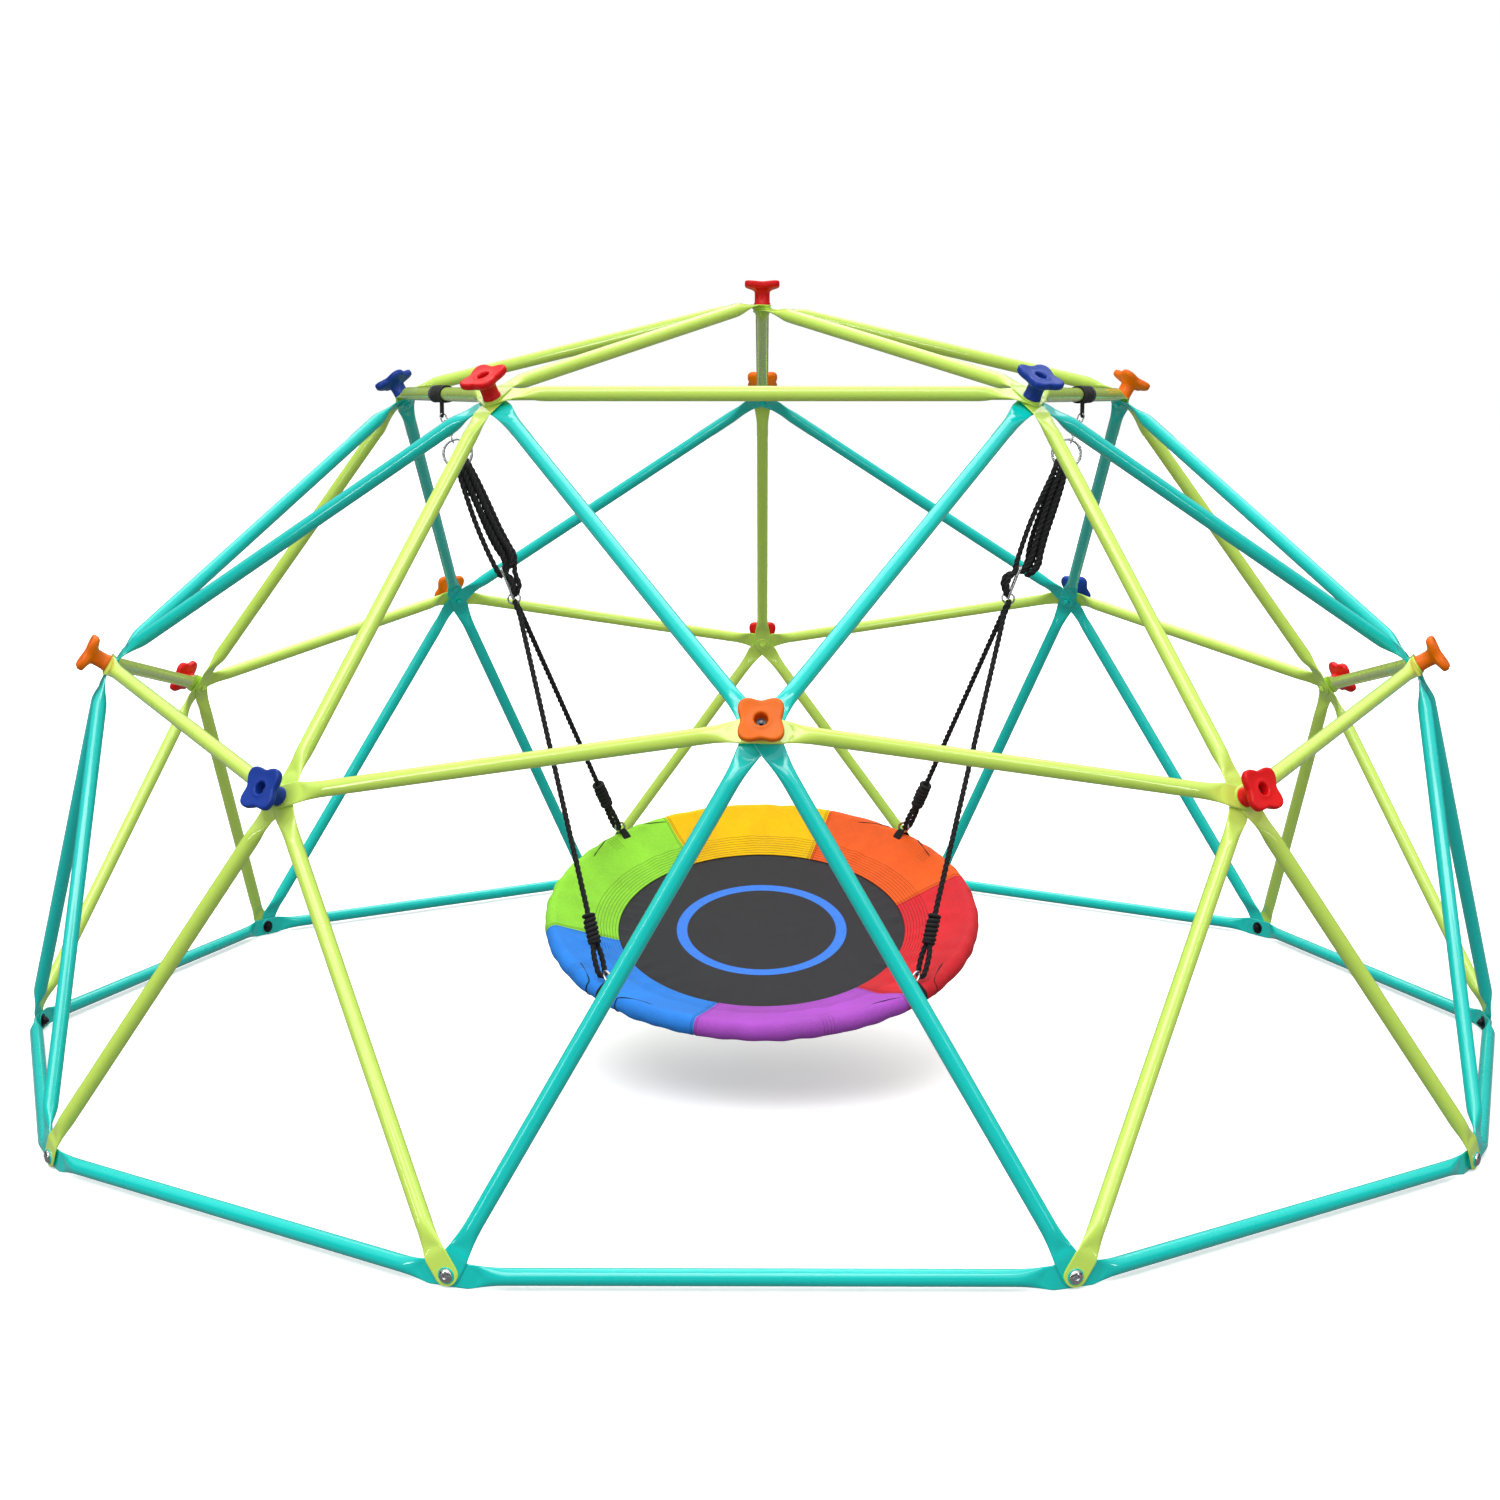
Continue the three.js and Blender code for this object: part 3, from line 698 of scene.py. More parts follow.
def leg_rope(corner, side, f):
    """One swing rope: from the adjuster's ring to its eye at the rim, and back up into its grip."""
    front = -1 if corner.startswith("front") else 1
    reach = np.linalg.norm(lines[side]["fork"] - f["rim"])
    # each place: distance from the rim towards the fork, distance to the rope's facing side
    places = [(reach - 26, 0), (reach - 60, 0)]
    places += [(d, 0) for d in np.linspace(reach - 140, GRIP_TO + 40, 6)]
    places += [(GRIP_TO, 0), (GRIP_FROM + 22, 2.5), (GRIP_FROM, 5.5), (92, 11.5), (66, 11.5)]
    places += [(EYE + 4, 8), (EYE, 0), (EYE + 4, -8)]
    places += [(66, -11.5), (92, -11.5), (GRIP_FROM, -6.0), (GRIP_FROM + 24, -4.5)]
    start = on_line(side, HANG_LENGTH - 12, 3 if side == "right" else -3, front * 7)
    controls = [f["rim"] + f["up"] * d + f["facing"] * apart for d, apart in places]
    return smooth_line([start, *controls], ROPE_STEP)


def coil_grip(f):
    """The rope's end whipped round it: tight turns between two collars."""
    x = unit(np.cross(f["up"], [0.3, 1, 0.1]))
    y = np.cross(f["up"], x)
    a = np.linspace(0, TURN * GRIP_TURNS, GRIP_TURNS * 30)
    d = np.linspace(GRIP_FROM + 5, GRIP_TO - 5, len(a))
    r = GRIP_RADIUS + 0.6 * np.sin(a * 0.37 + 1)
    centres = f["rim"] + d[:, None] * f["up"]
    coil = wire(centres + (r * np.cos(a))[:, None] * x + (r * np.sin(a))[:, None] * y, GRIP_WIRE, 10, taper=8)
    collars = []
    for d in (GRIP_FROM + 1, GRIP_TO - 1):
        collar = ring_points(f["rim"] + f["up"] * d, x, y, GRIP_RADIUS + 0.6, 30)
        collars.append(wire(collar, 4.4, 10, closed=True))
    return joined(coil, *collars)


def loop_band(f):
    """Webbing round the rim and through the ring above it, narrower at the ring."""
    count, loop, top, thick = 56, 22.6, HANGER_OUTER + 2.6, 1.3
    a = evenly_round(count)
    rise = np.clip((np.cos(a) - 0.25) / 0.75, 0, 1) ** 1.4
    across = loop * np.sin(a) * (1 - 0.72 * rise)
    height = loop * np.cos(a) * (1 - rise) + top * rise
    half = 11.5 - 3.3 * rise
    points = f["rim"] + across[:, None] * f["facing"] + height[:, None] * f["pull"]
    tangent = np.roll(points, -1, 0) - np.roll(points, 1, 0)
    tangent /= np.linalg.norm(tangent, axis=1)[:, None]
    out = np.cross(tangent, f["along"])
    under = [(-1, -1), (-0.5, -1.12), (0, -1.15), (0.5, -1.12), (1, -1), (1.04, 0)]
    section = under + [(-x, -y) for x, y in under]
    rings = [
        [p + f["along"] * (cx * h) + o * (cy * thick) for cx, cy in section]
        for p, h, o in zip(points, half, out)
    ]
    us = [0, 6, 12, 18, 24, 25, 26, 32, 38, 44, 50, 51, 52]
    return loft(rings, us=us, vs=np.arange(count + 1) * 2.7, along=True)


for corner, azimuth, side in CORNERS:
    f = corner_frame(azimuth, side)
    points = leg_rope(corner, side, f)
    laid = rope_mesh(points, start_turn=azimuth)
    rope = piece(f"leg_rope_{corner}", laid, rope_look, "saucer", f"rope_{corner}")
    grip = piece(f"rope_grip_{corner}", coil_grip(f), rope_look, "saucer", f"rope_{corner}", 50)
    ring_centre = f["rim"] + f["pull"] * (HANGER_OUTER - 2) + f["up"] * (HANGER_RING + 1)
    ring_line = ring_points(ring_centre, f["up"], f["along"], HANGER_RING + 1, 40)
    hanger = f"rim_hanger_{corner}"
    piece(f"rim_ring_{corner}", wire(ring_line, 3.0, 14, closed=True), zinc, "saucer", hanger)
    piece(f"rim_webbing_{corner}", loop_band(f), webbing, "saucer", hanger, 50)

# The gathered rope between the round ring and the adjuster: three doubled lengths on each side.
TOP = RING_TOP + 2 * CLIP_RADIUS - CLIP_WIRE - ROPE_RADIUS


def hanger_routes(side):
    """Places on each length: distance down the line, to its right and towards the back."""
    if side == "right":
        first_low = [(410, -26, 0), (428, -27, 0), (444, -16, 0)]
        second_low = [(398, -12, -9), (412, -18, -10), (428, -18, -10), (443, -11, -9)]
        third_low = [(384, 27, -2), (396, 14, -4)]
    else:
        first_low = [(410, 7, 8), (428, 9, 6), (444, 3, 0)]
        second_low = [(398, 4, -9), (412, 6, -10), (428, 8, -10), (443, 3, -9)]
        third_low = [(384, 29, -2), (400, 23, -3), (416, 22, -3), (431, 22, -3), (445, 12, -3), (455, 2, -3)]
    first = [
        (404, -11, -2), (384, -14, -7), (340, -18, -8), (270, -20, -8), (200, -17, -9), (155, -14, -10),
        (132, -13.4, -10.5), (TOP, -13.4, 0), (132, -12, 10.5), (160, -9, 10), (220, -5, 9), (290, -3, 9),
        (335, 2, 8), (362, 8, 7), (382, 6, 3), (395, -6, 0), *first_low, (457, -5, -1),
    ]
    second = [
        (392, 2, -6), (376, 9, -9), (350, 12, -10), (310, 8, -9), (250, 3, -9), (190, 0, -10),
        (155, 0, -10.5), (132, 0, -10.5), (TOP, 0, 0), (132, 1, 10.5), (160, 6, 10), (220, 11, 9),
        (290, 14, 9), (335, 18, 8), (365, 18, 4), (384, 10, -4), *second_low, (455, -5, -8),
    ]
    third = [
        (388, 16, -9), (374, 27, -8), (350, 29, -7), (310, 22, -7), (250, 17, -8), (190, 14.5, -9),
        (155, 13.6, -10), (132, 13.4, -10.5), (TOP, 13.4, 0), (132, 14, 10.5), (160, 18, 9), (220, 23, 7),
        (290, 27, 6), (335, 32, 5), (362, 36, 1), *third_low,
    ]
    return first, second, third


for side in ("left", "right"):
    for number, route in enumerate(hanger_routes(side), 1):
        points = smooth_line([on_line(side, *place) for place in route], ROPE_STEP)
        laid = rope_mesh(points, start_turn=number * 2.0)
        name = f"hanger_rope_{side}_{number}"
        rope = piece(name, laid, rope_look, "hanger", f"rope_bundle_{side}")


# ---------- tubes ----------
AROUND = 32
CREASE_EDGE, CREASE_MIDDLE, ROUND_AT = 38, 58, 112
BEND_REACH = 6
TIP = 20
TIP_ANGLES = np.radians([7, 18, 30, 43, 57, 73, 90])


def tube_mesh(tube):
    start, end, axis, side, up = tube_frame(tube)
    theta = evenly_round(AROUND)
    quarter = np.abs((theta + math.pi / 2) % math.pi - math.pi / 2) / (math.pi / 2)
    edge = PLATE / 2
    arc = quarter * (HALF_WIDTH - edge + edge * math.pi / 2)
    turning = np.clip(arc / edge, 0, math.pi / 2)
    across = HALF_WIDTH - edge + edge * np.cos(turning) - np.maximum(arc - edge * math.pi / 2, 0)
    x_side, y_side = np.sign(np.cos(theta) + 1e-12), np.sign(np.sin(theta) + 1e-12)
    flat = np.stack([across * x_side, edge * np.sin(turning) * y_side], 1)
    tube_section = circle(TUBE_RADIUS, theta, 0)[:, :2]
    share = np.abs(flat[:, 0]) / HALF_WIDTH
    crease = CREASE_EDGE + (CREASE_MIDDLE - CREASE_EDGE) * (1 - share**2)

    def rows(frame, away):
        def centre(s):
            s = s[:, None]
            before, after = frame["origin"] + frame["way"] * s, frame["bend"] + away * (s - BEND_AT)
            t = np.clip((s - BEND_AT + BEND_REACH) / (2 * BEND_REACH), 0, 1)
            p0, p2 = frame["bend"] - frame["way"] * BEND_REACH, frame["bend"] + away * BEND_REACH
            curve = (1 - t) ** 2 * p0 + 2 * t * (1 - t) * frame["bend"] + t**2 * p2
            straight = np.where(s < BEND_AT, before, after)
            return np.where(np.abs(s - BEND_AT) > BEND_REACH, straight, curve), t

        def row(s, width=1.0):
            s = np.broadcast_to(np.asarray(s, float), AROUND)
            place, t = centre(s)
            normal = (1 - t) * frame["normal"] + t * up
            normal /= np.linalg.norm(normal, axis=1)[:, None]
            x = np.sin(np.clip((s - crease) / (ROUND_AT - crease), 0, 1) * math.pi / 2)
            section = (1 - x)[:, None] * flat * [width, 1] + x[:, None] * tube_section
            return place + section[:, :1] * side + section[:, 1:] * normal

        out = [row(-TIP * math.cos(a), math.sin(a)) for a in TIP_ANGLES]
        out += [row(20), row(36)]
        out += [row(36 + (crease - 36) * q) for q in (0.3, 0.6, 0.85, 1)]
        out += [row(crease + (ROUND_AT - crease) * q) for q in (0.1, 0.22, 0.36, 0.52, 0.7, 0.86, 1)]
        return out

    a, b = rows(start, axis), rows(end, -axis)
    return loft([*a, *[a[-1] + (b[-1] - a[-1]) * q for q in (0.25, 0.5, 0.75)], *b[::-1]])


for tube in tubes:
    tone = "teal" if tube["node"].startswith(("base", "teal")) else "lime"
    name = f"tube_{tube['node']}_{tube['number']}"
    piece(name, tube_mesh(tube), paints[tone], "frame", tube["node"], 27)

# ---------- knobs, bolts and nuts ----------
KNOB_LIFT = 6
KNOB_REACH = 52.5
KNOB_MEAN, KNOB_LOBES = 45, 7.2
KNOB_FLOOR = 31.2
KNOB_COLOURS = {
    "crown": ("blue", "orange", "orange", "blue", "red"),
    "m": ("orange", "orange", "blue", "orange", "orange"),
    "v": ("red", "red", "red", "red", "blue"),
}


def on_hub(hub, *meshes):
    return placed(joined(*meshes), *hub_axes(hub))


def clover(angles):
    return KNOB_MEAN - KNOB_LOBES * np.cos(4 * angles)


def knob_mesh(hub):
    """Knob on its stem, with a dished four-lobed plate and a well for the bolt."""
    seat = hub["half"] + STACK_GAP
    # each ring: radius, height, share of the clover in its outline, how far it follows the dished plate
    stem = [
        (18.2, 0, 0, 0), (19.4, 0.9, 0, 0), (19.4, 4.2, 0, 0), (18.3, 5.4, 0, 0), (18.0, 20, 0, 0),
        (18.3, 31, 0, 0.3), (20.5, 36.0, 0.1, 0.7), (26, 39.6, 0.5, 1), (34.5, 41.2, 0.85, 1),
    ]
    edge = [
        (40.6, 42.2, 1, 1), (43.4, 43.8, 1, 1), (44.5, 46.4, 1, 1), (44.5, 50, 1, 1),
        (44.3, 53.6, 1, 1), (43.2, 56.4, 1, 1), (41.0, 57.8, 1, 1), (36.5, 58, 1, 1),
    ]
    well = [
        (29, 58, 0.8, 1), (22.5, 58.1, 0.35, 1), (18.6, 58.9, 0, 1), (16.4, 59.6, 0, 1), (14.4, 59.3, 0, 1),
        (12.9, 58, 0, 1), (12.5, 55, 0, 1), (12.3, 38, 0, 1), (0.6, 37.6, 0, 1),
    ]
    count = 80
    angles = evenly_round(count)
    out = []
    for radius, z, share, lifted in stem + edge + well:
        r = radius * ((1 - share) + share * clover(angles) / KNOB_MEAN)
        height = seat + z + lifted * KNOB_LIFT * ((r / KNOB_REACH) ** 2 - 1)
        out.append(circle(r, angles, height))
    return on_hub(hub, loft(out))


def nut_and_end(low, radius, height, end):
    """A nut from the level low down, with the bolt's end past it."""
    foot = low - height
    nut = [(radius * 0.93, low), (radius, low - 0.8), (radius, foot + 1), (radius * 0.9, foot), (4.6, foot)]
    rod = [(4.1, foot + 1), (4.1, foot - end + 0.8), (3.3, foot - end), (0.4, foot - end)]
    return lathe(nut, 36, hexagon), lathe(rod, 20)


def knob_nut(hub):
    """Painted washer with two pressed rings, nut and bolt end on the inner side of a knob's hub."""
    face = -hub["half"] - 0.2
    washer = [
        (21, face), (21, face - 1.2), (19.4, face - 2.0), (17.6, face - 1.3), (15.6, face - 1.2),
        (14.2, face - 2.2), (12.4, face - 2.4), (11, face - 1.6), (0.5, face - 1.6),
    ]
    return on_hub(hub, lathe(washer, 40), *nut_and_end(face - 1.7, 8.0, 6.5, 4.0))


def ground_nut(hub):
    """Plain washer, nut and bolt end on the inner side of a ground hub."""
    face = -hub["half"] - 0.2
    washer = [(17, face), (17, face - 1.3), (16.4, face - 1.8), (0.5, face - 1.8)]
    return on_hub(hub, lathe(washer, 40), *nut_and_end(face - 1.7, 9.0, 8.5, 4.5))


def knob_bolt(hub):
    """Hexagon nut and bolt end at the bottom of the knob's well."""
    seat = hub["half"] + STACK_GAP + KNOB_FLOOR
    nut = lathe([(9.2, seat), (9.2, seat + 3.4), (8.4, seat + 4.2), (4.6, seat + 4.3)], 36, hexagon)
    tip = lathe([(4.1, seat + 4), (4.1, seat + 8.4), (3.4, seat + 9.2), (0.3, seat + 9.2)], 20)
    return on_hub(hub, nut, tip)


def socket_shape(i, angles):
    """Round rings, and from the ninth ring on the hexagon of the socket."""
    return hexagon(i, angles) if i >= 8 else np.ones_like(angles)


def ground_bolt(hub):
    """Domed bolt head with a hexagon socket."""
    low = hub["half"] + 1.8
    dome = [
        (12.6, 0), (13.5, 0.6), (13.4, 1.6), (12.6, 3.1), (11, 4.6), (8.6, 5.8),
        (6.2, 6.3), (5.0, 6.3), (4.4, 5.9), (4.2, 2.6), (0.4, 2.4),
    ]
    return on_hub(hub, lathe([(r, low + z) for r, z in dome], 36, socket_shape))


def ground_washer(hub):
    seat = hub["half"] + 0.2
    washer = [(0.5, seat), (15.6, seat), (15.6, seat + 1.2), (15, seat + 1.8), (0.5, seat + 1.8)]
    return on_hub(hub, lathe(washer, 40))


knobs = [("knob_apex", "apex", "red", "lime")]
for k in range(5):
    knobs.append((f"knob_crown_{k + 1}", f"crown{k}", KNOB_COLOURS["crown"][k], "teal"))
for k in range(5):
    knobs.append((f"knob_waist_{2 * k + 1}", f"m{k}", KNOB_COLOURS["m"][k], "teal"))
    knobs.append((f"knob_waist_{2 * k + 2}", f"v{k}", KNOB_COLOURS["v"][k], "lime"))
for node, hub_name, colour, tone in knobs:
    hub = hubs[hub_name]
    piece(f"{node}_moulding", knob_mesh(hub), knob_materials[colour], "frame", node, 50)
    piece(f"{node}_bolt", knob_bolt(hub), bolt_steel, "frame", node, 35)
    piece(f"{node}_inner_nut", knob_nut(hub), paints[tone], "frame", node, 35)
for k in range(10):
    hub = hubs[f"ground{k}"]
    washer = f"ground_washer_{k + 1}"
    piece(washer, ground_washer(hub), paints["teal"], "frame", "base_ring", 35)
    piece(f"ground_bolt_{k + 1}", ground_bolt(hub), bright_steel, "frame", "base_ring", 40)
    piece(f"ground_nut_{k + 1}", ground_nut(hub), dark_steel, "frame", "base_ring", 35)


# ---------- hangers ----------
CUFF_HALF = 75
CUFF_INSIDE, CUFF_OUTSIDE = 16.3, 18.9
TAB_HALF, TAB_HOLE, TAB_BOTTOM, TAB_TUCK = 20, 5.4, 9.4, 15


def cuff_mesh(side):
    """Webbing wrapped round the rail, its loose end lapped over."""
    line = lines[side]
    _, _, axis, across, up = tube_frame(rails[side])
    half, count = CUFF_HALF, 64
    angles = evenly_round(count)
    far = 1 if side == "right" else -1
    lap = 1.0 / (1 + np.exp(-(np.cos(angles - 0.9) - 0.55) * 18))
    rings = []
    outer = [(-half, -1.2), (-half + 0.6, 0.1), (-half + 2.5, 0.5)]
    for low, lift in ((-half, 0.0), (-half / 3, 0.35), (half / 3, 0.1)):  # three turns side by side
        outer += [(low + d, 0.35 + lift + 0.25 * math.sin(0.21 * d)) for d in (8, 18, 30, 42)]
        if low < half / 3:
            outer += [(low + 48.6, 0.3 + lift), (low + 50, -0.75), (low + 51.4, 0.4 + lift)]
    outer += [(half - 2.5, 0.5), (half - 0.6, 0.1), (half, -1.2)]
    for d, grow in outer:
        wave = 0.3 * np.sin(3 * angles + 0.05 * d) + 0.2 * np.sin(5 * angles - 0.08 * d + 1)
        rings.append((d, CUFF_OUTSIDE + grow + lap + wave))
    rings += [(d, CUFF_INSIDE * np.ones(count)) for d in (half, -half)]
    out = []
    for d, r in rings:
        p = line["rail"] + axis * d
        out.append(p + (r * np.cos(angles))[:, None] * across + (r * np.sin(angles))[:, None] * up)
    vs = [half + far * d for d, _ in rings] + [0]
    return loft(out, us=np.arange(count + 1) * TURN * 19 / count, vs=vs, along=True)


def tab_mesh(side):
    """Folded webbing under the rail, with the hole that the chain hangs in."""
    line = lines[side]
    level = unit([line["axis"][0], line["axis"][1], 0])
    across = np.cross([0, 0, 1], level)
    centre = np.array([line["rail"][0], line["rail"][1], line["pivot"][2]])
    top = line["rail"][2] - line["pivot"][2] - TAB_TUCK
    count = 48
    a = evenly_round(count) + TURN / 8
    hole = circle(TAB_HOLE, a, 0)[:, :2]
    outline = []
    for x, y in zip(np.cos(a), np.sin(a)):
        if y > 0:
            far = max(abs(x), abs(y))
            outline.append((x / far * TAB_HALF, y / far * top))
        else:
            outline.append((x * TAB_HALF * (1 - 0.15 * abs(y)), y * TAB_BOTTOM))
    outline = np.array(outline)
    middle = hole * 0.45 + outline * 0.55
    front = [(hole, 1.0), (hole * 1.12, 1.4), (middle, 1.4), (outline, 1.3)]
    rings = []
    for shape, depth in [*front, (outline * 1.01, 0), *((shape, -depth) for shape, depth in front[::-1])]:
        rings.append(centre + shape[:, :1] * level + shape[:, 1:] * np.array([0, 0, 1.0]) + depth * across)
    return loft(rings, us=np.arange(count + 1) * 2.0, vs=np.arange(10) * 8.0, along=True)


def oval(top, down, side, length, half):
    """Centre line of a chain link, from its top end down."""
    a = np.linspace(0, math.pi, 14)
    straight = length - 2 * half
    out = [top + down * (half - half * math.sin(x)) + side * half * math.cos(x) for x in a]
    out += [top + down * (half + straight + half * math.sin(x)) - side * half * math.cos(x) for x in a]
    return np.array(out)


PLATE_START, PLATE_LENGTH, PLATE_HALF, PLATE_DEPTH = 377, 84, 16, 2.3
SLOT_HALF_WIDTH, SLOT_HALF_HEIGHT = 9.6, 7.8


def plate_mesh(side):
    """Slotted steel adjuster that the rope is woven through, edge on to the front."""
    line = lines[side]
    a = evenly_round(72)
    quarter, thick = PLATE_LENGTH / 4, PLATE_DEPTH
    slot = np.clip(1.35 * np.stack([np.cos(a), np.sin(a)], 1), -1, 1) * [SLOT_HALF_WIDTH, SLOT_HALF_HEIGHT]
    far = np.maximum(np.abs(np.cos(a)), np.abs(np.sin(a)))
    halves = []
    for centre, end in ((quarter, -1), (3 * quarter, 1)):
        box = np.stack([np.cos(a) / far * PLATE_HALF, np.sin(a) / far * quarter], 1)
        in_corner = (np.abs(box[:, 0]) > PLATE_HALF * 0.72) & (box[:, 1] * end > quarter * 0.75)
        box[:, 0] *= np.where(in_corner, 0.9, 1.0)
        front = [
            (slot, thick - 0.6), (slot * 1.1, thick), ((slot + box) / 2, thick),
            (box * [0.97, 1], thick), (box, thick - 0.7),
        ]
        at = line["pivot"] + line["down"] * (PLATE_START + PLATE_LENGTH - centre) - line["right"] * 3
        rings = []
        for shape, depth in [*front, *((shape, -depth) for shape, depth in front[::-1])]:
            rings.append(at + shape[:, :1] * Y_AXIS - shape[:, 1:] * line["down"] + depth * line["right"])
        halves.append(loft(rings, along=True))
    return joined(*halves)


def chain_mesh(side):
    line = lines[side]
    links = []
    for i in range(4):
        wide = Y_AXIS if i % 2 else line["right"]
        link = oval(on_line(side, i * CHAIN_STEP - 0.4), line["down"], wide, 20.8, 6.6)
        links.append(wire(link, 1.75, 10, closed=True))
    return joined(*links)


def snap_ring_mesh(side):
    """Round ring with the two collars of its gate."""
    line = lines[side]
    centre = on_line(side, RING_TOP + CLIP_RADIUS)
    ring_line = ring_points(centre, line["down"], line["right"], CLIP_RADIUS, 72)
    meshes = [wire(ring_line, CLIP_WIRE, 16, closed=True)]
    for angle in (1.55, 2.35):
        out = math.cos(angle) * line["down"] + math.sin(angle) * line["right"]
        way = math.cos(angle) * line["right"] - math.sin(angle) * line["down"]
        collar = lathe([(3.2, -3.4), (4.3, -3), (4.5, 0), (4.3, 3), (3.2, 3.4)], 16)
        meshes.append(placed(collar, centre + CLIP_RADIUS * out, out, Y_AXIS, way))
    return joined(*meshes)


for side in ("left", "right"):
    strap, adjuster, line = f"strap_{side}", f"rope_adjuster_{side}", lines[side]
    piece(f"strap_cuff_{side}", cuff_mesh(side), cuff_webbing, "frame", strap, 50)
    piece(f"strap_tab_{side}", tab_mesh(side), webbing, "frame", strap, 50)
    piece(f"chain_links_{side}", chain_mesh(side), zinc, "hanger", f"chain_{side}")
    piece(f"snap_ring_{side}", snap_ring_mesh(side), zinc, "hanger", f"carabiner_{side}")
    piece(f"adjuster_{side}", plate_mesh(side), zinc, "hanger", adjuster, 35)
    eye = ring_points(on_line(side, HANG_LENGTH - 13, -2), line["down"], line["right"], 12.5, 40, 14.5)
    piece(f"adjuster_ring_{side}", wire(eye, 2.4, 12, closed=True), zinc, "hanger", adjuster)

# ---------- the saucer ----------
ROLL_RADIUS = 20.6
ROLL_END = math.radians(-150)
STEEL_RADIUS = 12.5
MAT_EDGE = 345
MAT_TOP = -38
SECTIONS = [
    ("red", -50, 17), ("orange", 17, 69.5), ("yellow", 69.5, 119.5),
    ("lime", 119.5, 190), ("blue", 190, 253), ("purple", 253, 310),
]
DARTS = np.array([32, 140, 212, 287.0])


def in_saucer(local):
    return SAUCER + np.asarray(local) @ SAUCER_AXES


def thicken(obj, thickness, offset):
    cloth = obj.modifiers.new("cloth_thickness", "SOLIDIFY")
    cloth.thickness, cloth.offset = thickness, offset


def cover_profile():
    """(radius, height) along the fabric: from the mat's edge up the skirt, over the roll and under it."""
    dx, dz = RING_RADIUS - MAT_EDGE, -MAT_TOP
    tangent = math.atan2(dz, dx) + math.asin(ROLL_RADIUS / math.hypot(dx, dz)) + math.pi / 2
    top = np.array([RING_RADIUS + ROLL_RADIUS * math.cos(tangent), ROLL_RADIUS * math.sin(tangent)])
    start = np.array([MAT_EDGE - 1.5, MAT_TOP + 0.8])
    length = np.linalg.norm(top - start)
    skirt = [start + (top - start) * s for s in np.linspace(0, 1, int(length / 2.4), endpoint=False)]
    angles = np.linspace(tangent, ROLL_END, 46)
    roll = [(RING_RADIUS + ROLL_RADIUS * math.cos(a), ROLL_RADIUS * math.sin(a)) for a in angles]
    profile = np.array([*skirt, *roll])
    return profile, way_along(profile), length


def random_waves(rng, count, waves, sizes, slant, angles, arc):
    """Sum of waves round the saucer, each leaning a little as it goes along the fabric."""
    total = np.zeros((len(angles), len(arc)))
    for _ in range(count):
        number, phase, size = rng.integers(*waves), rng.uniform(0, TURN), rng.uniform(*sizes)
        lean = rng.uniform(-slant, slant)
        total += size * np.sin(number * angles[:, None] + phase + lean * arc[None])
    return total


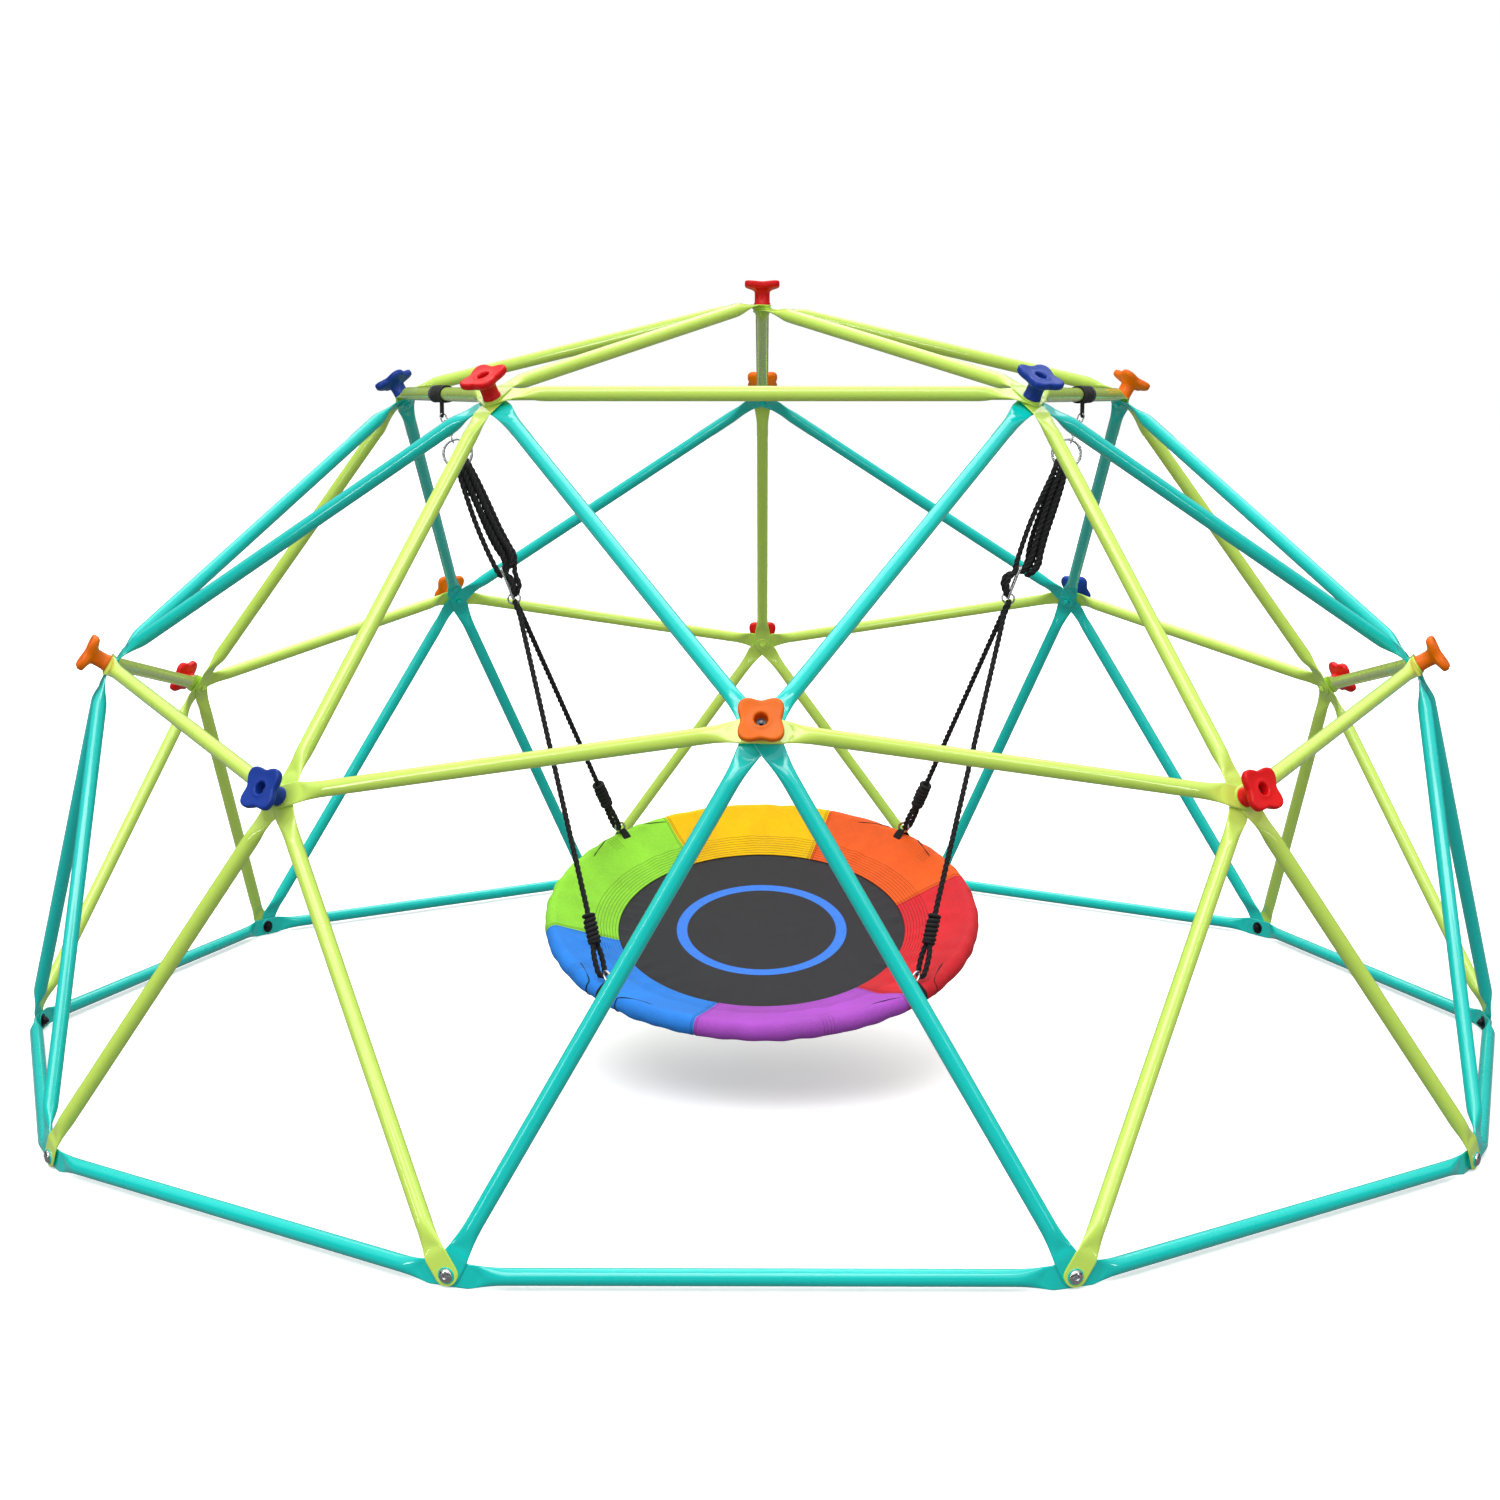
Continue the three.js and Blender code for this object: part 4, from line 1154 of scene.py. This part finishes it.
def cover_piece():
    profile, arc, skirt = cover_profile()
    edges = [e for _, e, _ in SECTIONS] + [SECTIONS[-1][2]]
    angles, owner = [], []
    for index, (_, low, high) in enumerate(SECTIONS):
        count = int(round((high - low) / 0.5))
        angles += list(np.linspace(low, high, count, endpoint=False))
        owner += [index] * count
    angles = np.array(angles)
    n, m = len(angles), len(profile)
    a = np.radians(angles)
    tangent = np.gradient(profile, axis=0)
    tangent /= np.linalg.norm(tangent, axis=1)[:, None]
    normal = np.stack([-tangent[:, 1], tangent[:, 0]], 1)
    distance = np.min(np.abs((angles[:, None] - np.array(edges)[None] + 180) % 360 - 180), axis=1)
    from_seam = np.radians(distance)[:, None] * profile[None, :, 0]
    rng = np.random.default_rng(7)
    on_roll = 1 / (1 + np.exp(-(arc - skirt + 2) / 5))
    loose = np.sin(np.clip(arc / skirt, 0, 1) * math.pi) ** 0.8
    creases = random_waves(rng, 26, (10, 64), (0.05, 0.26), 0.03, a, arc) * on_roll[None]
    puckers = random_waves(rng, 22, (7, 56), (0.1, 0.62), 0.05, a, arc) * loose[None]
    push = creases + puckers
    rows = np.clip((STITCH_FIRST + STITCH_STEP * STITCH_ROWS - arc) / 8, 0, 1)
    push += (rows * 0.7 * np.abs(np.sin(math.pi * (arc - STITCH_FIRST) / STITCH_STEP)))[None]
    push -= 1.3 * np.exp(-((from_seam / 2.6) ** 2))
    push += 0.6 * np.exp(-(((from_seam - 5.5) / 3) ** 2))
    push -= 3.2 * loose[None] * (0.6 + 0.4 * np.cos(4 * (a[:, None] - TURN / 8)))
    r = profile[None, :, 0] + push * normal[None, :, 0]
    z = profile[None, :, 1] + push * normal[None, :, 1]
    local = np.stack([r * np.cos(a)[:, None], r * np.sin(a)[:, None], z], 2)
    verts = in_saucer(local.reshape(-1, 3))
    faces, places, seams, slots = [], [], [], []
    for i in range(n):
        j = (i + 1) % n
        low, high = SECTIONS[owner[i]][1:]
        ends = (angles[i], angles[j] if j else 360 + angles[0])
        if owner[j] != owner[i]:
            ends = (angles[i], high)
        for k in range(m - 1):
            faces.append((i * m + k, j * m + k, j * m + k + 1, i * m + k + 1))
            slots.append(owner[i])
            for end, row in ((0, k), (1, k), (1, k + 1), (0, k + 1)):
                angle, radius = ends[end], profile[row, 0]
                places.append((math.radians(angle) * radius, arc[row]))
                near = min(angle - low, high - angle)
                gap = np.min(np.abs((angle - DARTS + 180) % 360 - 180)) if arc[row] > skirt * 0.8 else 90
                seams.append((math.radians(near) * radius, math.radians(gap) * radius))
    data = new_mesh("cover_fabric", verts * MM, faces, {"UVMap": places, "seams": seams})
    for name, _, _ in SECTIONS:
        data.materials.append(cover_material(f"cover_{name}", SECTION_COLOURS[name]))
    data.polygons.foreach_set("material_index", slots)
    data.shade_smooth()
    obj = new_object("cover_fabric", data)
    thicken(obj, 0.0012, -1)
    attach(obj, "saucer")
    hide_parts("saucer_cover")
    flat = 2 * (MAT_EDGE + arc[-1]) * MM
    flat = (round(flat, 3), round(flat, 3))


cover_piece()


def mat_piece():
    """Mesh cloth that sags a little inside its edge and is creased near it."""
    radii = np.concatenate([[4], np.arange(12, 324, 7.0), np.arange(326, 352, 2.5)])
    count = 240
    a = evenly_round(count)
    rng = np.random.default_rng(11)
    crease = np.zeros(count)
    for _ in range(14):
        crease += rng.uniform(0.1, 0.5) * np.sin(rng.integers(20, 90) * a + rng.uniform(0, TURN))
    rings = []
    for r in radii:
        inward = max(0, MAT_EDGE - 2 - r)
        ripple = math.exp(-((inward / 38) ** 2)) * min(1, inward / 12)
        z = MAT_TOP - 0.9 - 7.0 * max(0, 1 - (r / MAT_EDGE) ** 2) ** 1.3 + 0.8 * ripple * crease
        rings.append(circle(r, a, z))
    rings = np.array(rings)
    verts, faces, _ = loft(rings, caps=False)
    faces.append(tuple(range(count))[::-1])
    flat = verts[:, :2]
    places = [[tuple(flat[i]) for i in face] for face in faces]
    cloth = (in_saucer(verts), faces, places)
    obj = piece("mat_cloth", cloth, mat_look, "saucer", "saucer_mat", 60, fix=False)
    thicken(obj, 0.0014, 0)


mat_piece()
ring_line = ring_points(SAUCER, SAUCER_AXES[0], SAUCER_AXES[1], RING_RADIUS, 144)
steel = wire(ring_line, STEEL_RADIUS, 20, closed=True)
piece("saucer_steel_ring", steel, zinc, "saucer", "saucer_ring")

# Dark binding round the roll at both sides of each hanger, where the sleeve's openings are.
# Its line sweeps aside on the inner face.
BINDING_REACH = ROLL_RADIUS + 1
bindings = []
for _, azimuth, _ in CORNERS:
    for sign in (-1, 1):
        a = math.radians(azimuth) + sign * 47 / RING_RADIUS
        local = []
        for t in np.radians(np.linspace(128, -120, 60)):
            sweep = a + sign * 52 * max(0, t - 0.9) ** 1.6 / RING_RADIUS
            reach = RING_RADIUS + BINDING_REACH * math.cos(t)
            local.append([reach * math.cos(sweep), reach * math.sin(sweep), BINDING_REACH * math.sin(t)])
        bindings.append(wire(in_saucer(local), 1.3, 8, taper=4))
piece("sleeve_bindings", joined(*bindings), binding, "saucer", "saucer_cover", 60)
